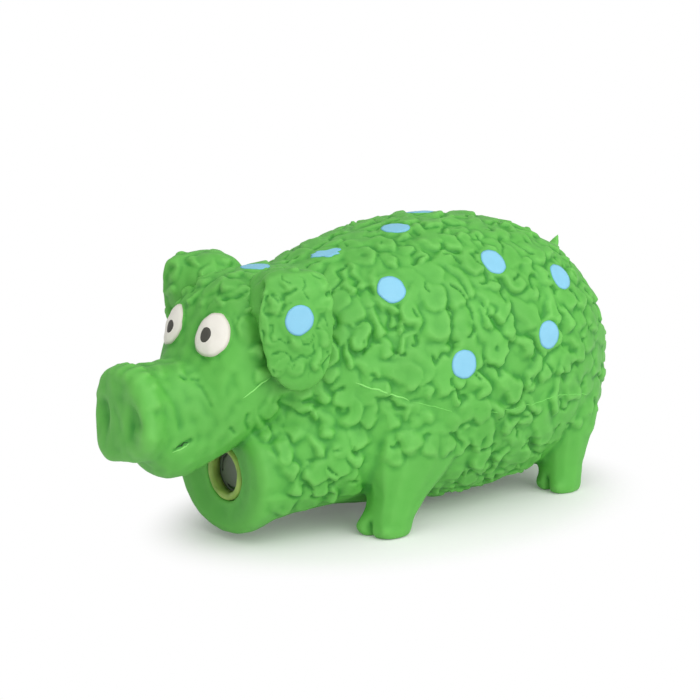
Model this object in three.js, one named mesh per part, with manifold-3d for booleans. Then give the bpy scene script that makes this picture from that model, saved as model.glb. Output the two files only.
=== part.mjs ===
// A squeaky dog toy: a fat standing pig moulded in latex as a hollow skin over a wad of fibre,
// with floppy ears, cloven feet, painted eyes and spots, and a reed squeaker under its chin.
// Millimetres, +Z up. The snout points to -Y and the pig's left side is +X.
// The origin is on the floor, under the middle of the toy.

import * as THREE from 'three';
import { mergeVertices } from 'three/addons/utils/BufferGeometryUtils.js';
import Module from 'manifold-3d';

const wasm = await Module();
wasm.setup();

// Skin, paint and the clearances between pieces
const wall = 2.5;
const seamGap = 0.3;
const fillClearance = 0.5;
const paintFilm = 0.5;
const cutOverrun = 5;
const mergeReach = 0.001;

// Body: each ring gives its place along the body, its width, its top and its underside,
// as shares of the length, the half width and the height
const bodyFront = -64;
const bodyRear = 108.6;
const bodyHalfWidth = 49.5;
const bodyTop = 110.9;
const bodyUnderside = 1.3;
const bodyRingShares = [
  [0, 0, 0.481, 0.481],
  [0.012, 0.33, 0.691, 0.262],
  [0.046, 0.5, 0.791, 0.125],
  [0.113, 0.65, 0.864, 0.066],
  [0.214, 0.81, 0.922, 0.046],
  [0.342, 0.935, 0.972, 0.019],
  [0.475, 0.996, 1, 0],
  [0.603, 1, 0.997, 0.003],
  [0.718, 0.974, 0.964, 0.021],
  [0.814, 0.889, 0.905, 0.052],
  [0.895, 0.737, 0.809, 0.107],
  [0.947, 0.566, 0.695, 0.18],
  [0.984, 0.364, 0.577, 0.271],
  [1, 0, 0.422, 0.422],
];

// Chest: the round flat face under the chin, widening back into the body
const chestFront = -71.5;
const chestRear = -10;
const chestHalfWidth = 39;
const chestTop = 69.4;
const chestUnderside = 2;
const chestRingShares = [
  [0, 0.628, 0.631, 0.042],
  [0.02, 0.682, 0.674, 0.013],
  [0.05, 0.705, 0.697, 0],
  [0.122, 0.708, 0.712, 0.009],
  [0.236, 0.756, 0.772, 0.045],
  [0.431, 0.885, 0.89, 0.065],
  [0.675, 0.962, 0.964, 0.068],
  [1, 1, 1, 0.059],
];
const dishRadius = 19.5;
const dishDepth = 3.2;

// Head: nose disc, snout, jaw, brow and crown in one form that runs back into the body
const noseFront = -113.7;
const headRear = -30;
const headHalfWidth = 25;
const crownDrop = 12;
const headTop = bodyTop - crownDrop;
const jawUnderside = 27.4;
const headRingShares = [
  [0, 0.58, 0.56, 0.152],
  [0.02, 0.66, 0.585, 0.122],
  [0.056, 0.68, 0.592, 0.113],
  [0.092, 0.656, 0.588, 0.124],
  [0.128, 0.636, 0.581, 0.077],
  [0.17, 0.632, 0.578, 0.017],
  [0.223, 0.656, 0.58, 0],
  [0.283, 0.696, 0.586, 0.011],
  [0.325, 0.748, 0.617, 0.028],
  [0.361, 0.804, 0.705, 0.041],
  [0.397, 0.86, 0.809, 0.055],
  [0.444, 0.932, 0.899, 0.08],
  [0.51, 0.98, 0.965, 0.113],
  [0.606, 1, 0.993, 0.147],
  [0.761, 1, 1, 0.174],
  [1, 1, 1, 0.202],
];
const nostrilHalfWidth = 3.6;
const nostrilHalfHeight = 5;
const nostrilDepth = 2;
const nostrilSideShare = 0.4;
const nostrilHeightShare = 0.365;

// Legs: each ring gives its height, its width, its rear edge and its front edge as shares
const frontLegInset = 15;
const frontLegLean = 2.5;
const frontLegHeight = 55;
const frontLegHalfWidth = 13;
const frontLegFront = -29;
const frontLegRear = 21;
const frontLegRingShares = [
  [0, 0.585, 0.328, 0.036],
  [0.036, 0.646, 0.348, 0.016],
  [0.109, 0.646, 0.38, 0.016],
  [0.2, 0.669, 0.46, 0.016],
  [0.309, 0.754, 0.61, 0.016],
  [0.436, 0.869, 0.77, 0.01],
  [0.582, 0.985, 0.94, 0.01],
  [0.727, 1, 1, 0.03],
  [0.873, 0.908, 0.98, 0.1],
  [1, 0.692, 0.9, 0.2],
];
const rearLegInset = 17.5;
const rearLegLean = 1.5;
const rearLegHeight = 48;
const rearLegHalfWidth = 12;
const rearLegFront = 60;
const rearLegRear = 88.5;
const rearLegRingShares = [
  [0, 0.617, 0.667, 0.161],
  [0.042, 0.683, 0.702, 0.133],
  [0.125, 0.683, 0.719, 0.126],
  [0.229, 0.7, 0.737, 0.126],
  [0.354, 0.767, 0.807, 0.105],
  [0.5, 0.883, 0.912, 0.053],
  [0.667, 0.983, 0.982, 0],
  [0.833, 0.958, 0.982, 0],
  [1, 0.75, 0.842, 0.07],
];
const toeRadius = 3.9;
const toeSpread = 4;
const toeReach = 3;
const toeNotchRadius = 1.3;
const toeNotchHeight = 9;

// Ears: each ring gives how far out and how high its middle lies, its width along the head,
// its thickness and how far back it sits, as shares of the sizes named here
const earThickness = 6.2;
const earHalfWidth = 14.8;
const earMiddle = -60.9;
const earOutReach = 11.4;
const earRise = 5;
const earDrop = 34;
const earSweep = 3.5;
const earFlareShare = 0.067;
const earHingeTurnShare = 0.235;
const earHingeRadius = 3;
const earHingeHalfLength = 10.5;
const earRingShares = [
  [0, 0, 0.66, 0.9, 0],
  [0.22, 0.7, 0.8, 1, 0],
  [0.62, 1, 0.93, 1, 0],
  [0.94, 0.45, 1, 1, 0],
  [1, -0.15, 1, 1, 0.1],
  [1, -0.38, 0.98, 1, 0.3],
  [0.98, -0.62, 0.89, 0.95, 0.6],
  [0.94, -0.83, 0.7, 0.8, 0.9],
  [0.9, -0.95, 0.4, 0.5, 1],
  [0.88, -1, 0, 0, 1],
];

// Tail: a small pointed nub whose round root turns in a socket of the rump
const tailRadius = 2.2;
const tailLength = 9.5;
const tailPlaceShare = 0.912;
const tailStandOff = 0.6;
const tailLeanShare = 0.155;
const tailOutlineShares = [
  [0.85, 0.3],
  [0.5, 0.65],
  [0, 1],
];

// Eyes: a domed white and a flat round pupil, both set on the slope of the brow
const eyeHalfWidth = 7.2;
const eyeHalfHeight = 7.7;
const eyeDomeDepth = 2;
const eyeSink = 0.5;
const eyeLengthShare = 0.382;
const eyePlaceTurnShare = 0.165;
const eyeYawShare = 0.061;
const eyeTiltShare = 0.13;
const pupilHalfWidth = 2.4;
const pupilHalfHeight = 2.8;
const pupilShift = 1.2;
const pupilDrop = 1.1;

// Spots: each gives its place along the form and its turn round it from the top towards
// the left, as shares of the length and of half a turn
const spotRadius = 5.4;
const bodySpotShares = {
  shoulder_spot: [0.215, 0.045],
  left_flank_spot: [0.27, 0.26],
  left_belly_spot: [0.4, 0.47],
  left_haunch_spot: [0.645, 0.44],
  left_back_spot: [0.54, 0.25],
  left_rump_spot: [0.73, 0.295],
  top_front_spot: [0.395, 0.05],
  top_rear_spot: [0.545, -0.03],
  right_shoulder_spot: [0.24, -0.21],
  right_flank_spot: [0.42, -0.34],
  right_belly_spot: [0.47, -0.47],
  right_haunch_spot: [0.67, -0.455],
  right_back_spot: [0.58, -0.22],
  right_rump_spot: [0.76, -0.19],
};
const crownSpotShares = [0.712, 0];
const earSpotDropShare = -0.265;

// Squeaker, on its own axis along Y through the hole in the chest
const squeakerHeight = 24.5;
const collarRadius = 10.3;
const collarHoleRadius = 8;
const collarFront = -68.7;
const collarDepth = 3.3;
const sleeveDepth = 22;
const barrelLength = 34;
const barrelWall = 1.2;
const capThickness = 1.6;
const capSlotRadius = 6.6;
const capSlotWidth = 1;
const capSlotCount = 3;
const capSlotTurnShare = 0.2;
const blockLength = 6;
const throatRadius = 2.4;
const shallotRadius = 4.2;
const shallotLength = 15;
const shallotEndWall = 1.6;
const reedWidth = 6;
const reedThickness = 0.45;
const reedClampLength = 3;
const reedOpenShare = 0.017;
const clampHeight = 1.8;
const clampWidth = 7;
const guardThickness = 1.5;
const guardHoleRadius = 1.4;
const guardHoleRing = 5.2;
const guardHoleCount = 6;

// Squeeze: two slanted cuts part the skin into belly, flank and back. The back's depth is taken
// from the top of the body over its middle, and the flank's from the upper cut
const cutSlopeShare = 0.139;
const backDepth = 11.4;
const flankDepth = 22;

// How finely the forms are drawn
const bodySides = 28;
const bodySteps = 17;
const chestSides = 24;
const chestSteps = 9;
const headSides = 22;
const headSteps = 18;
const legSides = 12;
const legSteps = 8;
const earSides = 14;
const earSteps = 11;
const innerShare = 0.66;
const roundSides = 24;
const smallSides = 12;
const lumpSides = 8;
const eyeSides = 20;
const spotSides = 14;
const bodyPower = 2.3;
const chestPower = 2.1;
const headPower = 2.5;
const legPower = 2.4;
const leastShare = 0.3;
const probeStep = 0.01;

// Finishes
const latexGreen = 0x5cb84c;
const spotBlue = 0x8fd0f5;
const eyeWhite = 0xf2eee6;
const pupilBlack = 0x45443f;
const collarGreen = 0xa3b45a;
const squeakerGrey = 0x44503f;
const reedClear = 0xd8dcd6;
const fibreWhite = 0xe9e7e0;
const latexRoughness = 0.62;
const paintRoughness = 0.45;
const plasticRoughness = 0.5;
const fibreRoughness = 0.95;

// The value of one column of a table at a place between two of its rows
function smoothShare(table, column, place) {
  const last = table.length - 1;
  const row = Math.min(Math.floor(place), last - 1);
  const t = place - row;
  const before = table[Math.max(row - 1, 0)][column];
  const from = table[row][column];
  const to = table[row + 1][column];
  const after = table[Math.min(row + 2, last)][column];
  const bend = 2 * before - 5 * from + 4 * to - after;
  const twist = 3 * from - before - 3 * to + after;
  return from + 0.5 * t * (to - before + t * (bend + t * twist));
}

// A number's size raised to a power, with its sign kept
function signedPower(value, power) {
  return Math.sign(value) * Math.abs(value) ** power;
}

// One ring of a form: its place, half width, middle and half height, drawn in by inset
function ringSizes(form, place, inset) {
  const along = smoothShare(form.shares, 0, place);
  const halfWidth = smoothShare(form.shares, 1, place) * form.halfWidth;
  const span = form.high - form.low;
  const high = form.low + smoothShare(form.shares, 2, place) * span;
  const low = form.low + smoothShare(form.shares, 3, place) * span;
  const halfHeight = Math.max((high - low) / 2, 0);
  return {
    share: along,
    along: form.start + along * (form.end - form.start) + inset * (1 - 2 * along),
    halfWidth: Math.max(halfWidth - inset, halfWidth * leastShare, 0),
    middle: (high + low) / 2,
    halfHeight: Math.max(halfHeight - inset, halfHeight * leastShare),
  };
}

// The point of one ring at an angle round it
function ringPoint(form, ring, angle) {
  const middle = form.side + form.lean * ring.share;
  const across = middle + ring.halfWidth * signedPower(Math.cos(angle), 2 / form.power);
  const up = ring.middle + ring.halfHeight * signedPower(Math.sin(angle), 2 / form.power);
  return form.upright
    ? new THREE.Vector3(across, up, ring.along)
    : new THREE.Vector3(across, ring.along, up);
}

// A closed surface through rings of equal count, each end closed by a fan
function ringsGeometry(rings) {
  const sides = rings[0].length;
  const positions = [];
  const addTriangle = (a, b, c) => positions.push(...a.toArray(), ...b.toArray(), ...c.toArray());
  for (let r = 1; r < rings.length; r++) {
    for (let i = 0; i < sides; i++) {
      const next = (i + 1) % sides;
      addTriangle(rings[r - 1][i], rings[r - 1][next], rings[r][next]);
      addTriangle(rings[r - 1][i], rings[r][next], rings[r][i]);
    }
  }
  const first = rings[0];
  const last = rings[rings.length - 1];
  const firstMiddle = ringMiddle(first);
  const lastMiddle = ringMiddle(last);
  for (let i = 0; i < sides; i++) {
    const next = (i + 1) % sides;
    addTriangle(firstMiddle, first[next], first[i]);
    addTriangle(lastMiddle, last[i], last[next]);
  }
  const geometry = new THREE.BufferGeometry();
  geometry.setAttribute('position', new THREE.Float32BufferAttribute(positions, 3));
  return geometry;
}

// The middle of a ring of points
function ringMiddle(ring) {
  const middle = new THREE.Vector3();
  ring.forEach((point) => middle.add(point));
  return middle.divideScalar(ring.length);
}

// A geometry as a solid that can be joined and cut, with its faces pointing out
function toSolid(geometry) {
  const plain = geometry.index ? geometry.toNonIndexed() : geometry.clone();
  plain.deleteAttribute('normal');
  plain.deleteAttribute('uv');
  const merged = mergeVertices(plain, mergeReach);
  const position = merged.getAttribute('position');
  const corner = (i) => new THREE.Vector3().fromBufferAttribute(position, i);
  const kept = [];
  let volume = 0;
  for (let i = 0; i < merged.index.count; i += 3) {
    const [a, b, c] = [0, 1, 2].map((step) => merged.index.getX(i + step));
    if (a === b || b === c || c === a) continue;
    kept.push([a, b, c]);
    volume += corner(a).dot(corner(b).cross(corner(c)));
  }
  const facing = kept.map(([a, b, c]) => (volume < 0 ? [a, c, b] : [a, b, c]));
  return new wasm.Manifold(new wasm.Mesh({
    numProp: 3,
    vertProperties: new Float32Array(position.array),
    triVerts: new Uint32Array(facing.flat()),
  }));
}

// A finish for one piece
function finish(color, roughness) {
  return new THREE.MeshStandardMaterial({ color, roughness, metalness: 0 });
}

// A solid as a named mesh of the scene
function toMesh(name, solid, material) {
  const result = solid.getMesh();
  const geometry = new THREE.BufferGeometry();
  geometry.setAttribute('position', new THREE.Float32BufferAttribute(result.vertProperties, 3));
  geometry.setIndex(Array.from(result.triVerts));
  geometry.computeVertexNormals();
  const mesh = new THREE.Mesh(geometry, material);
  mesh.name = name;
  return mesh;
}

// A form drawn in by inset, or let out by a negative one
function formSolid(form, inset) {
  const fineness = inset > 0 ? innerShare : 1;
  const sides = Math.round(form.sides * fineness);
  const steps = Math.round(form.steps * fineness);
  const rings = [];
  for (let i = 0; i <= steps; i++) {
    const place = (i / steps) * (form.shares.length - 1);
    const ring = ringSizes(form, place, inset);
    const points = [];
    for (let j = 0; j < sides; j++) {
      points.push(ringPoint(form, ring, (2 * Math.PI * j) / sides));
    }
    rings.push(points);
  }
  return toSolid(ringsGeometry(rings));
}

// A turned shape about an axis along Y, from [radius, y] corners
function turned(corners, sides) {
  const profile = corners.map(([radius, y]) => new THREE.Vector2(radius, y));
  return new THREE.LatheGeometry(profile, sides);
}

// A plain cylinder along Y between two places
function rod(radius, from, to, sides) {
  return turned([[0, from], [radius, from], [radius, to], [0, to]], sides);
}

// A ring with a square section along Y between two places
function tube(outer, inner, from, to, sides) {
  const corners = [[inner, from], [outer, from], [outer, to], [inner, to], [inner, from]];
  return turned(corners, sides);
}

// A round lump with its own half sizes, turned by rotation and moved to place
function lump(halfSizes, rotation, place, sides) {
  const geometry = new THREE.SphereGeometry(1, sides, Math.round(sides / 2));
  const matrix = new THREE.Matrix4().compose(
    place,
    new THREE.Quaternion().setFromEuler(rotation),
    halfSizes,
  );
  return geometry.applyMatrix4(matrix);
}

// A block between two corners
function block(from, to) {
  const geometry = new THREE.BoxGeometry(to[0] - from[0], to[1] - from[1], to[2] - from[2]);
  const middle = from.map((value, i) => (value + to[i]) / 2);
  return geometry.translate(...middle);
}

// The forms
const bodyForm = {
  start: bodyFront,
  end: bodyRear,
  halfWidth: bodyHalfWidth,
  high: bodyTop,
  low: bodyUnderside,
  shares: bodyRingShares,
  side: 0,
  lean: 0,
  power: bodyPower,
  sides: bodySides,
  steps: bodySteps,
  upright: false,
};
const chestForm = {
  start: chestFront,
  end: chestRear,
  halfWidth: chestHalfWidth,
  high: chestTop,
  low: chestUnderside,
  shares: chestRingShares,
  side: 0,
  lean: 0,
  power: chestPower,
  sides: chestSides,
  steps: chestSteps,
  upright: false,
};
const headForm = {
  start: noseFront,
  end: headRear,
  halfWidth: headHalfWidth,
  high: headTop,
  low: jawUnderside,
  shares: headRingShares,
  side: 0,
  lean: 0,
  power: headPower,
  sides: headSides,
  steps: headSteps,
  upright: false,
};
const unturned = new THREE.Euler();

// The place in a form's table that lies at a share of its length
function placeAt(form, lengthShare) {
  let before = 0;
  let after = form.shares.length - 1;
  for (let halving = 0; halving < 20; halving++) {
    const middle = (before + after) / 2;
    if (smoothShare(form.shares, 0, middle) < lengthShare) before = middle;
    else after = middle;
  }
  return (before + after) / 2;
}

// The point and the outward normal of a lying form's surface, at a share of its length and a
// turn from the top towards the left
function surfaceAt(form, lengthShare, turnShare) {
  const place = placeAt(form, lengthShare);
  const angle = (0.5 - turnShare) * Math.PI;
  const pointAt = (at, turn) => ringPoint(form, ringSizes(form, at, 0), turn);
  const along = pointAt(place + probeStep, angle).sub(pointAt(place - probeStep, angle));
  const round = pointAt(place, angle + probeStep).sub(pointAt(place, angle - probeStep));
  return { point: pointAt(place, angle), normal: along.cross(round).normalize() };
}

// Body and chest together, drawn in by inset
function torsoSolid(inset) {
  return formSolid(bodyForm, inset).add(formSolid(chestForm, inset));
}

// The shallow dish in the chest's flat face
function dishSolid() {
  const corners = [[0, chestFront - cutOverrun], [dishRadius, chestFront - cutOverrun]];
  const steps = 4;
  for (let i = 0; i <= steps; i++) {
    const out = 1 - i / steps;
    corners.push([dishRadius * out, chestFront + dishDepth * (1 - out * out)]);
  }
  return toSolid(turned(corners, roundSides).translate(0, 0, squeakerHeight));
}

// The front and the rear leg of one side as forms
function frontLegForm(side) {
  return {
    start: 0,
    end: frontLegHeight,
    halfWidth: frontLegHalfWidth,
    high: frontLegRear,
    low: frontLegFront,
    shares: frontLegRingShares,
    side: side * (bodyHalfWidth - frontLegInset),
    lean: -side * frontLegLean,
    power: legPower,
    sides: legSides,
    steps: legSteps,
    upright: true,
  };
}
function rearLegForm(side) {
  return {
    start: 0,
    end: rearLegHeight,
    halfWidth: rearLegHalfWidth,
    high: rearLegRear,
    low: rearLegFront,
    shares: rearLegRingShares,
    side: side * (bodyHalfWidth - rearLegInset),
    lean: -side * rearLegLean,
    power: legPower,
    sides: legSides,
    steps: legSteps,
    upright: true,
  };
}
const legForms = {
  front_left_leg: frontLegForm(1),
  front_right_leg: frontLegForm(-1),
  rear_left_leg: rearLegForm(1),
  rear_right_leg: rearLegForm(-1),
};

// The two toes and the notch between them, at the front of a foot
function cloven(form, leg) {
  const sole = ringSizes(form, 0, 0);
  const front = sole.middle - sole.halfHeight;
  let foot = leg;
  for (const side of [-1, 1]) {
    const place = new THREE.Vector3(form.side + side * toeSpread, front + toeReach, toeRadius * 0.8);
    const halfSizes = new THREE.Vector3(toeRadius, toeRadius, toeRadius);
    foot = foot.add(toSolid(lump(halfSizes, unturned, place, lumpSides)));
  }
  const notchHalf = new THREE.Vector3(toeNotchRadius, toeRadius, toeNotchHeight);
  const notchPlace = new THREE.Vector3(form.side, front - toeRadius + toeReach, 0);
  return foot.subtract(toSolid(lump(notchHalf, unturned, notchPlace, lumpSides)));
}

// Everything above the floor of a solid
function aboveFloor(solid) {
  return solid.trimByPlane([0, 0, 1], 0);
}

// One leg: a hollow skin, open at its root towards the body
function legSolid(form, torsoCutter) {
  const foot = aboveFloor(cloven(form, formSolid(form, 0)));
  return foot.subtract(formSolid(form, wall)).subtract(torsoCutter);
}

// The nostrils: two shallow dents in the nose disc
function nostrilsSolid() {
  const height = jawUnderside + nostrilHeightShare * (headTop - jawUnderside);
  const halfSizes = new THREE.Vector3(nostrilHalfWidth, nostrilDepth, nostrilHalfHeight);
  const side = nostrilSideShare * headHalfWidth;
  const left = lump(halfSizes, unturned, new THREE.Vector3(side, noseFront, height), lumpSides);
  const right = lump(halfSizes, unturned, new THREE.Vector3(-side, noseFront, height), lumpSides);
  return toSolid(left).add(toSolid(right));
}

// Where the ear's hinge line runs: just clear of the shoulder of the head
const earLengthShare = (earMiddle - noseFront) / (headRear - noseFront);
const earSeat = surfaceAt(headForm, earLengthShare, earHingeTurnShare);
const earHingeX = earSeat.point.x + (earHingeRadius + seamGap) * earSeat.normal.x;
const earHingeZ = earSeat.point.z + (earHingeRadius + seamGap) * earSeat.normal.z;

// The ear's blade on one side
function earBlade(side) {
  const middles = earRingShares.map(([out, up]) => new THREE.Vector2(
    earHingeX + out * earOutReach,
    earHingeZ + (up > 0 ? up * earRise : up * earDrop),
  ));
  const path = new THREE.SplineCurve(middles);
  const rings = [];
  for (let i = 0; i <= earSteps; i++) {
    const share = i / earSteps;
    const place = share * (earRingShares.length - 1);
    const middle = path.getPoint(share);
    const along = path.getTangent(share);
    const halfWidth = Math.max(smoothShare(earRingShares, 2, place), 0) * earHalfWidth;
    const halfThickness = Math.max(smoothShare(earRingShares, 3, place), 0) * earThickness / 2;
    const back = earMiddle + smoothShare(earRingShares, 4, place) * earSweep;
    const flare = smoothShare(earRingShares, 0, place) * earFlareShare * Math.PI;
    const ring = [];
    for (let j = 0; j < earSides; j++) {
      const angle = (2 * Math.PI * j) / earSides;
      const across = halfWidth * signedPower(Math.cos(angle), 2 / bodyPower);
      const out = halfThickness * signedPower(Math.sin(angle), 2 / bodyPower);
      ring.push(new THREE.Vector3(
        side * (middle.x + out * along.y + across * Math.sin(flare)),
        back + across * Math.cos(flare),
        middle.y - out * along.x,
      ));
    }
    rings.push(ring);
  }
  return toSolid(ringsGeometry(rings));
}

// One ear: the blade and the round root it turns about, clear of the head and the body
function earSolid(side, headCutter, torsoCutter) {
  const rootFront = earMiddle - earHingeHalfLength;
  const rootRear = earMiddle + earHingeHalfLength;
  const root = rod(earHingeRadius, rootFront, rootRear, smallSides)
    .translate(side * earHingeX, 0, earHingeZ);
  return earBlade(side).subtract(headCutter).subtract(torsoCutter).add(toSolid(root));
}

// The middle of the tail's round root, a little off the slope of the rump
const tailSeat = surfaceAt(bodyForm, tailPlaceShare, 0);
const tailPlace = tailSeat.point.clone().addScaledVector(tailSeat.normal, tailStandOff);

// The tail: a drop shape standing on its round root
function tailSolid() {
  const corners = [[0, -tailRadius]];
  const steps = 4;
  for (let i = 1; i <= steps; i++) {
    const angle = (i / steps) * (Math.PI / 2);
    corners.push([tailRadius * Math.sin(angle), -tailRadius * Math.cos(angle)]);
  }
  for (const [radiusShare, lengthShare] of tailOutlineShares) {
    corners.push([tailRadius * radiusShare, tailLength * lengthShare]);
  }
  const lean = (0.5 - tailLeanShare) * Math.PI;
  return toSolid(turned(corners, smallSides).rotateX(lean).translate(...tailPlace.toArray()));
}

// The socket that the tail's root turns in
function tailSocket() {
  const radius = tailRadius + seamGap;
  return toSolid(lump(new THREE.Vector3(radius, radius, radius), unturned, tailPlace, smallSides));
}

// The middle and the turn of one eye, sunk a little into the brow
function eyePlace(side) {
  const turn = new THREE.Euler(-eyeTiltShare * Math.PI, 0, side * eyeYawShare * Math.PI, 'ZXY');
  const inward = new THREE.Vector3(0, eyeSink, 0).applyEuler(turn);
  const seat = surfaceAt(headForm, eyeLengthShare, side * eyePlaceTurnShare).point;
  return { turn, place: seat.add(inward) };
}

// The domed white of one eye, let out by outset
function eyeWhiteSolid(side, outset) {
  const { turn, place } = eyePlace(side);
  const halfSizes = new THREE.Vector3(
    eyeHalfWidth + outset,
    eyeDomeDepth + outset,
    eyeHalfHeight + outset,
  );
  return toSolid(lump(halfSizes, turn, place, eyeSides));
}

// A pupil: a film on the white, inside an oval seen from the front
function pupilSolid(side) {
  const { turn, place } = eyePlace(side);
  const film = eyeWhiteSolid(side, seamGap + paintFilm).subtract(eyeWhiteSolid(side, seamGap));
  const oval = new THREE.CylinderGeometry(1, 1, 1, spotSides);
  const matrix = new THREE.Matrix4().compose(
    new THREE.Vector3(-side * pupilShift, -eyeDomeDepth, -pupilDrop).applyEuler(turn).add(place),
    new THREE.Quaternion().setFromEuler(turn),
    new THREE.Vector3(pupilHalfWidth, 2 * eyeDomeDepth, pupilHalfHeight),
  );
  return film.intersect(toSolid(oval.applyMatrix4(matrix)));
}

// A round spot of paint lying flat on a point of a surface
function spotSolid(point, normal) {
  const disc = new THREE.CylinderGeometry(spotRadius, spotRadius, paintFilm, spotSides);
  const facing = new THREE.Quaternion().setFromUnitVectors(new THREE.Vector3(0, 1, 0), normal);
  const place = point.clone().addScaledVector(normal, seamGap + paintFilm / 2);
  const matrix = new THREE.Matrix4().compose(place, facing, new THREE.Vector3(1, 1, 1));
  return toSolid(disc.applyMatrix4(matrix));
}

// A spot of the body or the head at its shares
function spotMesh(name, form, [lengthShare, turnShare]) {
  const { point, normal } = surfaceAt(form, lengthShare, turnShare);
  return toMesh(name, spotSolid(point, normal), finish(spotBlue, paintRoughness));
}

// A spot on the outer face of an ear
function earSpotMesh(name, side) {
  const point = new THREE.Vector3(
    side * (earHingeX + earOutReach + earThickness / 2),
    earMiddle,
    earHingeZ + earSpotDropShare * earDrop,
  );
  const flare = earFlareShare * Math.PI;
  const disc = spotSolid(point, new THREE.Vector3(side * Math.cos(flare), -Math.sin(flare), 0));
  return toMesh(name, disc, finish(spotBlue, paintRoughness));
}

// Where the squeaker's pieces lie along its axis, from the collar back
const barrelRadius = collarRadius;
const barrelBore = barrelRadius - barrelWall;
const barrelFront = collarFront + collarDepth + seamGap;
const barrelRear = barrelFront + barrelLength;
const innerRadius = barrelBore - seamGap;
const capRear = barrelFront + capThickness;
const blockFront = capRear + seamGap;
const blockRear = blockFront + blockLength;
const shallotRear = blockRear + shallotLength;
const boreRadius = collarRadius + seamGap;
const sleeveRadius = boreRadius + wall;
const dishRear = chestFront + dishDepth + wall;

// The soft collar: a rounded lip round the mouth of the squeaker
function collarSolid() {
  const rear = collarFront + collarDepth;
  const round = (collarRadius - collarHoleRadius) / 3;
  return toSolid(turned([
    [collarHoleRadius, rear],
    [collarHoleRadius, collarFront + round],
    [collarHoleRadius + round, collarFront],
    [collarRadius - round, collarFront],
    [collarRadius, collarFront + round],
    [collarRadius, rear],
    [collarHoleRadius, rear],
  ], roundSides));
}

// The cap: a disc with curved slots near its rim that let the sound out
function capSolid() {
  let disc = toSolid(rod(innerRadius, barrelFront, capRear, roundSides));
  const depth = capThickness + 2 * cutOverrun;
  for (let i = 0; i < capSlotCount; i++) {
    const start = (i / capSlotCount) * 2 * Math.PI;
    const sweep = capSlotTurnShare * 2 * Math.PI;
    const outer = capSlotRadius + capSlotWidth / 2;
    const inner = capSlotRadius - capSlotWidth / 2;
    const outline = new THREE.Shape();
    outline.absarc(0, 0, outer, start, start + sweep, false);
    outline.absarc(0, 0, inner, start + sweep, start, true);
    const slot = new THREE.ExtrudeGeometry(outline, {
      depth,
      bevelEnabled: false,
      curveSegments: 5,
    });
    slot.rotateX(Math.PI / 2).translate(0, capRear + cutOverrun, 0);
    disc = disc.subtract(toSolid(slot));
  }
  return disc;
}

// The reed block: a plug with a throat, and a half-round shallot that the reed lies over
function blockBodySolid() {
  const plug = toSolid(rod(innerRadius, blockFront, blockRear, roundSides));
  const beam = toSolid(rod(shallotRadius, blockRear - blockLength / 2, shallotRear, roundSides));
  const above = toSolid(block(
    [-shallotRadius - cutOverrun, blockRear, 0],
    [shallotRadius + cutOverrun, shallotRear + cutOverrun, shallotRadius + cutOverrun],
  ));
  const throatRear = shallotRear - shallotEndWall;
  const throat = toSolid(rod(throatRadius, blockFront - cutOverrun, throatRear, smallSides));
  return plug.add(beam.subtract(above)).subtract(throat);
}

// The reed: a thin strip held at its root and standing slightly open at its tip
function reedSolid() {
  const length = shallotLength - 2 * seamGap;
  const strip = block(
    [-reedWidth / 2, -reedClampLength, 0],
    [reedWidth / 2, length - reedClampLength, reedThickness],
  );
  strip.rotateX(reedOpenShare * Math.PI);
  return toSolid(strip.translate(0, blockRear + seamGap + reedClampLength, 2 * seamGap));
}

// The clamp: a wedge that holds the root of the reed against the plug
function clampSolid() {
  const floor = 2 * seamGap + reedThickness + seamGap;
  return toSolid(block(
    [-clampWidth / 2, blockRear + seamGap, floor],
    [clampWidth / 2, blockRear + reedClampLength, floor + clampHeight],
  ));
}

// The guard: a disc of holes that keeps the fibre out of the barrel
function guardSolid() {
  const front = barrelRear - guardThickness;
  const hole = () => rod(guardHoleRadius, front - cutOverrun, barrelRear + cutOverrun, lumpSides);
  let guard = toSolid(rod(innerRadius, front, barrelRear, roundSides)).subtract(toSolid(hole()));
  for (let i = 0; i < guardHoleCount; i++) {
    const angle = (i / guardHoleCount) * 2 * Math.PI;
    const side = guardHoleRing * Math.cos(angle);
    const up = guardHoleRing * Math.sin(angle);
    guard = guard.subtract(toSolid(hole().translate(side, 0, up)));
  }
  return guard;
}

// The squeaker as a group on its own axis
function squeakerGroup() {
  const group = new THREE.Group();
  const barrel = toSolid(tube(barrelRadius, barrelBore, barrelFront, barrelRear, roundSides));
  group.add(toMesh('squeaker_collar', collarSolid(), finish(collarGreen, latexRoughness)));
  group.add(toMesh('squeaker_barrel', barrel, finish(squeakerGrey, plasticRoughness)));
  group.add(toMesh('squeaker_cap', capSolid(), finish(squeakerGrey, plasticRoughness)));
  group.add(toMesh('reed_block', blockBodySolid(), finish(squeakerGrey, plasticRoughness)));
  group.add(toMesh('reed', reedSolid(), finish(reedClear, plasticRoughness)));
  group.add(toMesh('reed_clamp', clampSolid(), finish(squeakerGrey, plasticRoughness)));
  group.add(toMesh('fibre_guard', guardSolid(), finish(squeakerGrey, plasticRoughness)));
  group.position.set(0, 0, squeakerHeight);
  return group;
}

// The normal of the slanted cuts, and how far along it each one lies
const cutNormal = [
  0,
  Math.sin(cutSlopeShare * Math.PI),
  Math.cos(cutSlopeShare * Math.PI),
];
const bodyMiddle = (bodyFront + bodyRear) / 2;
const upperCut = cutNormal[1] * bodyMiddle + cutNormal[2] * bodyTop - backDepth;
const lowerCut = upperCut - flankDepth;

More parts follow.
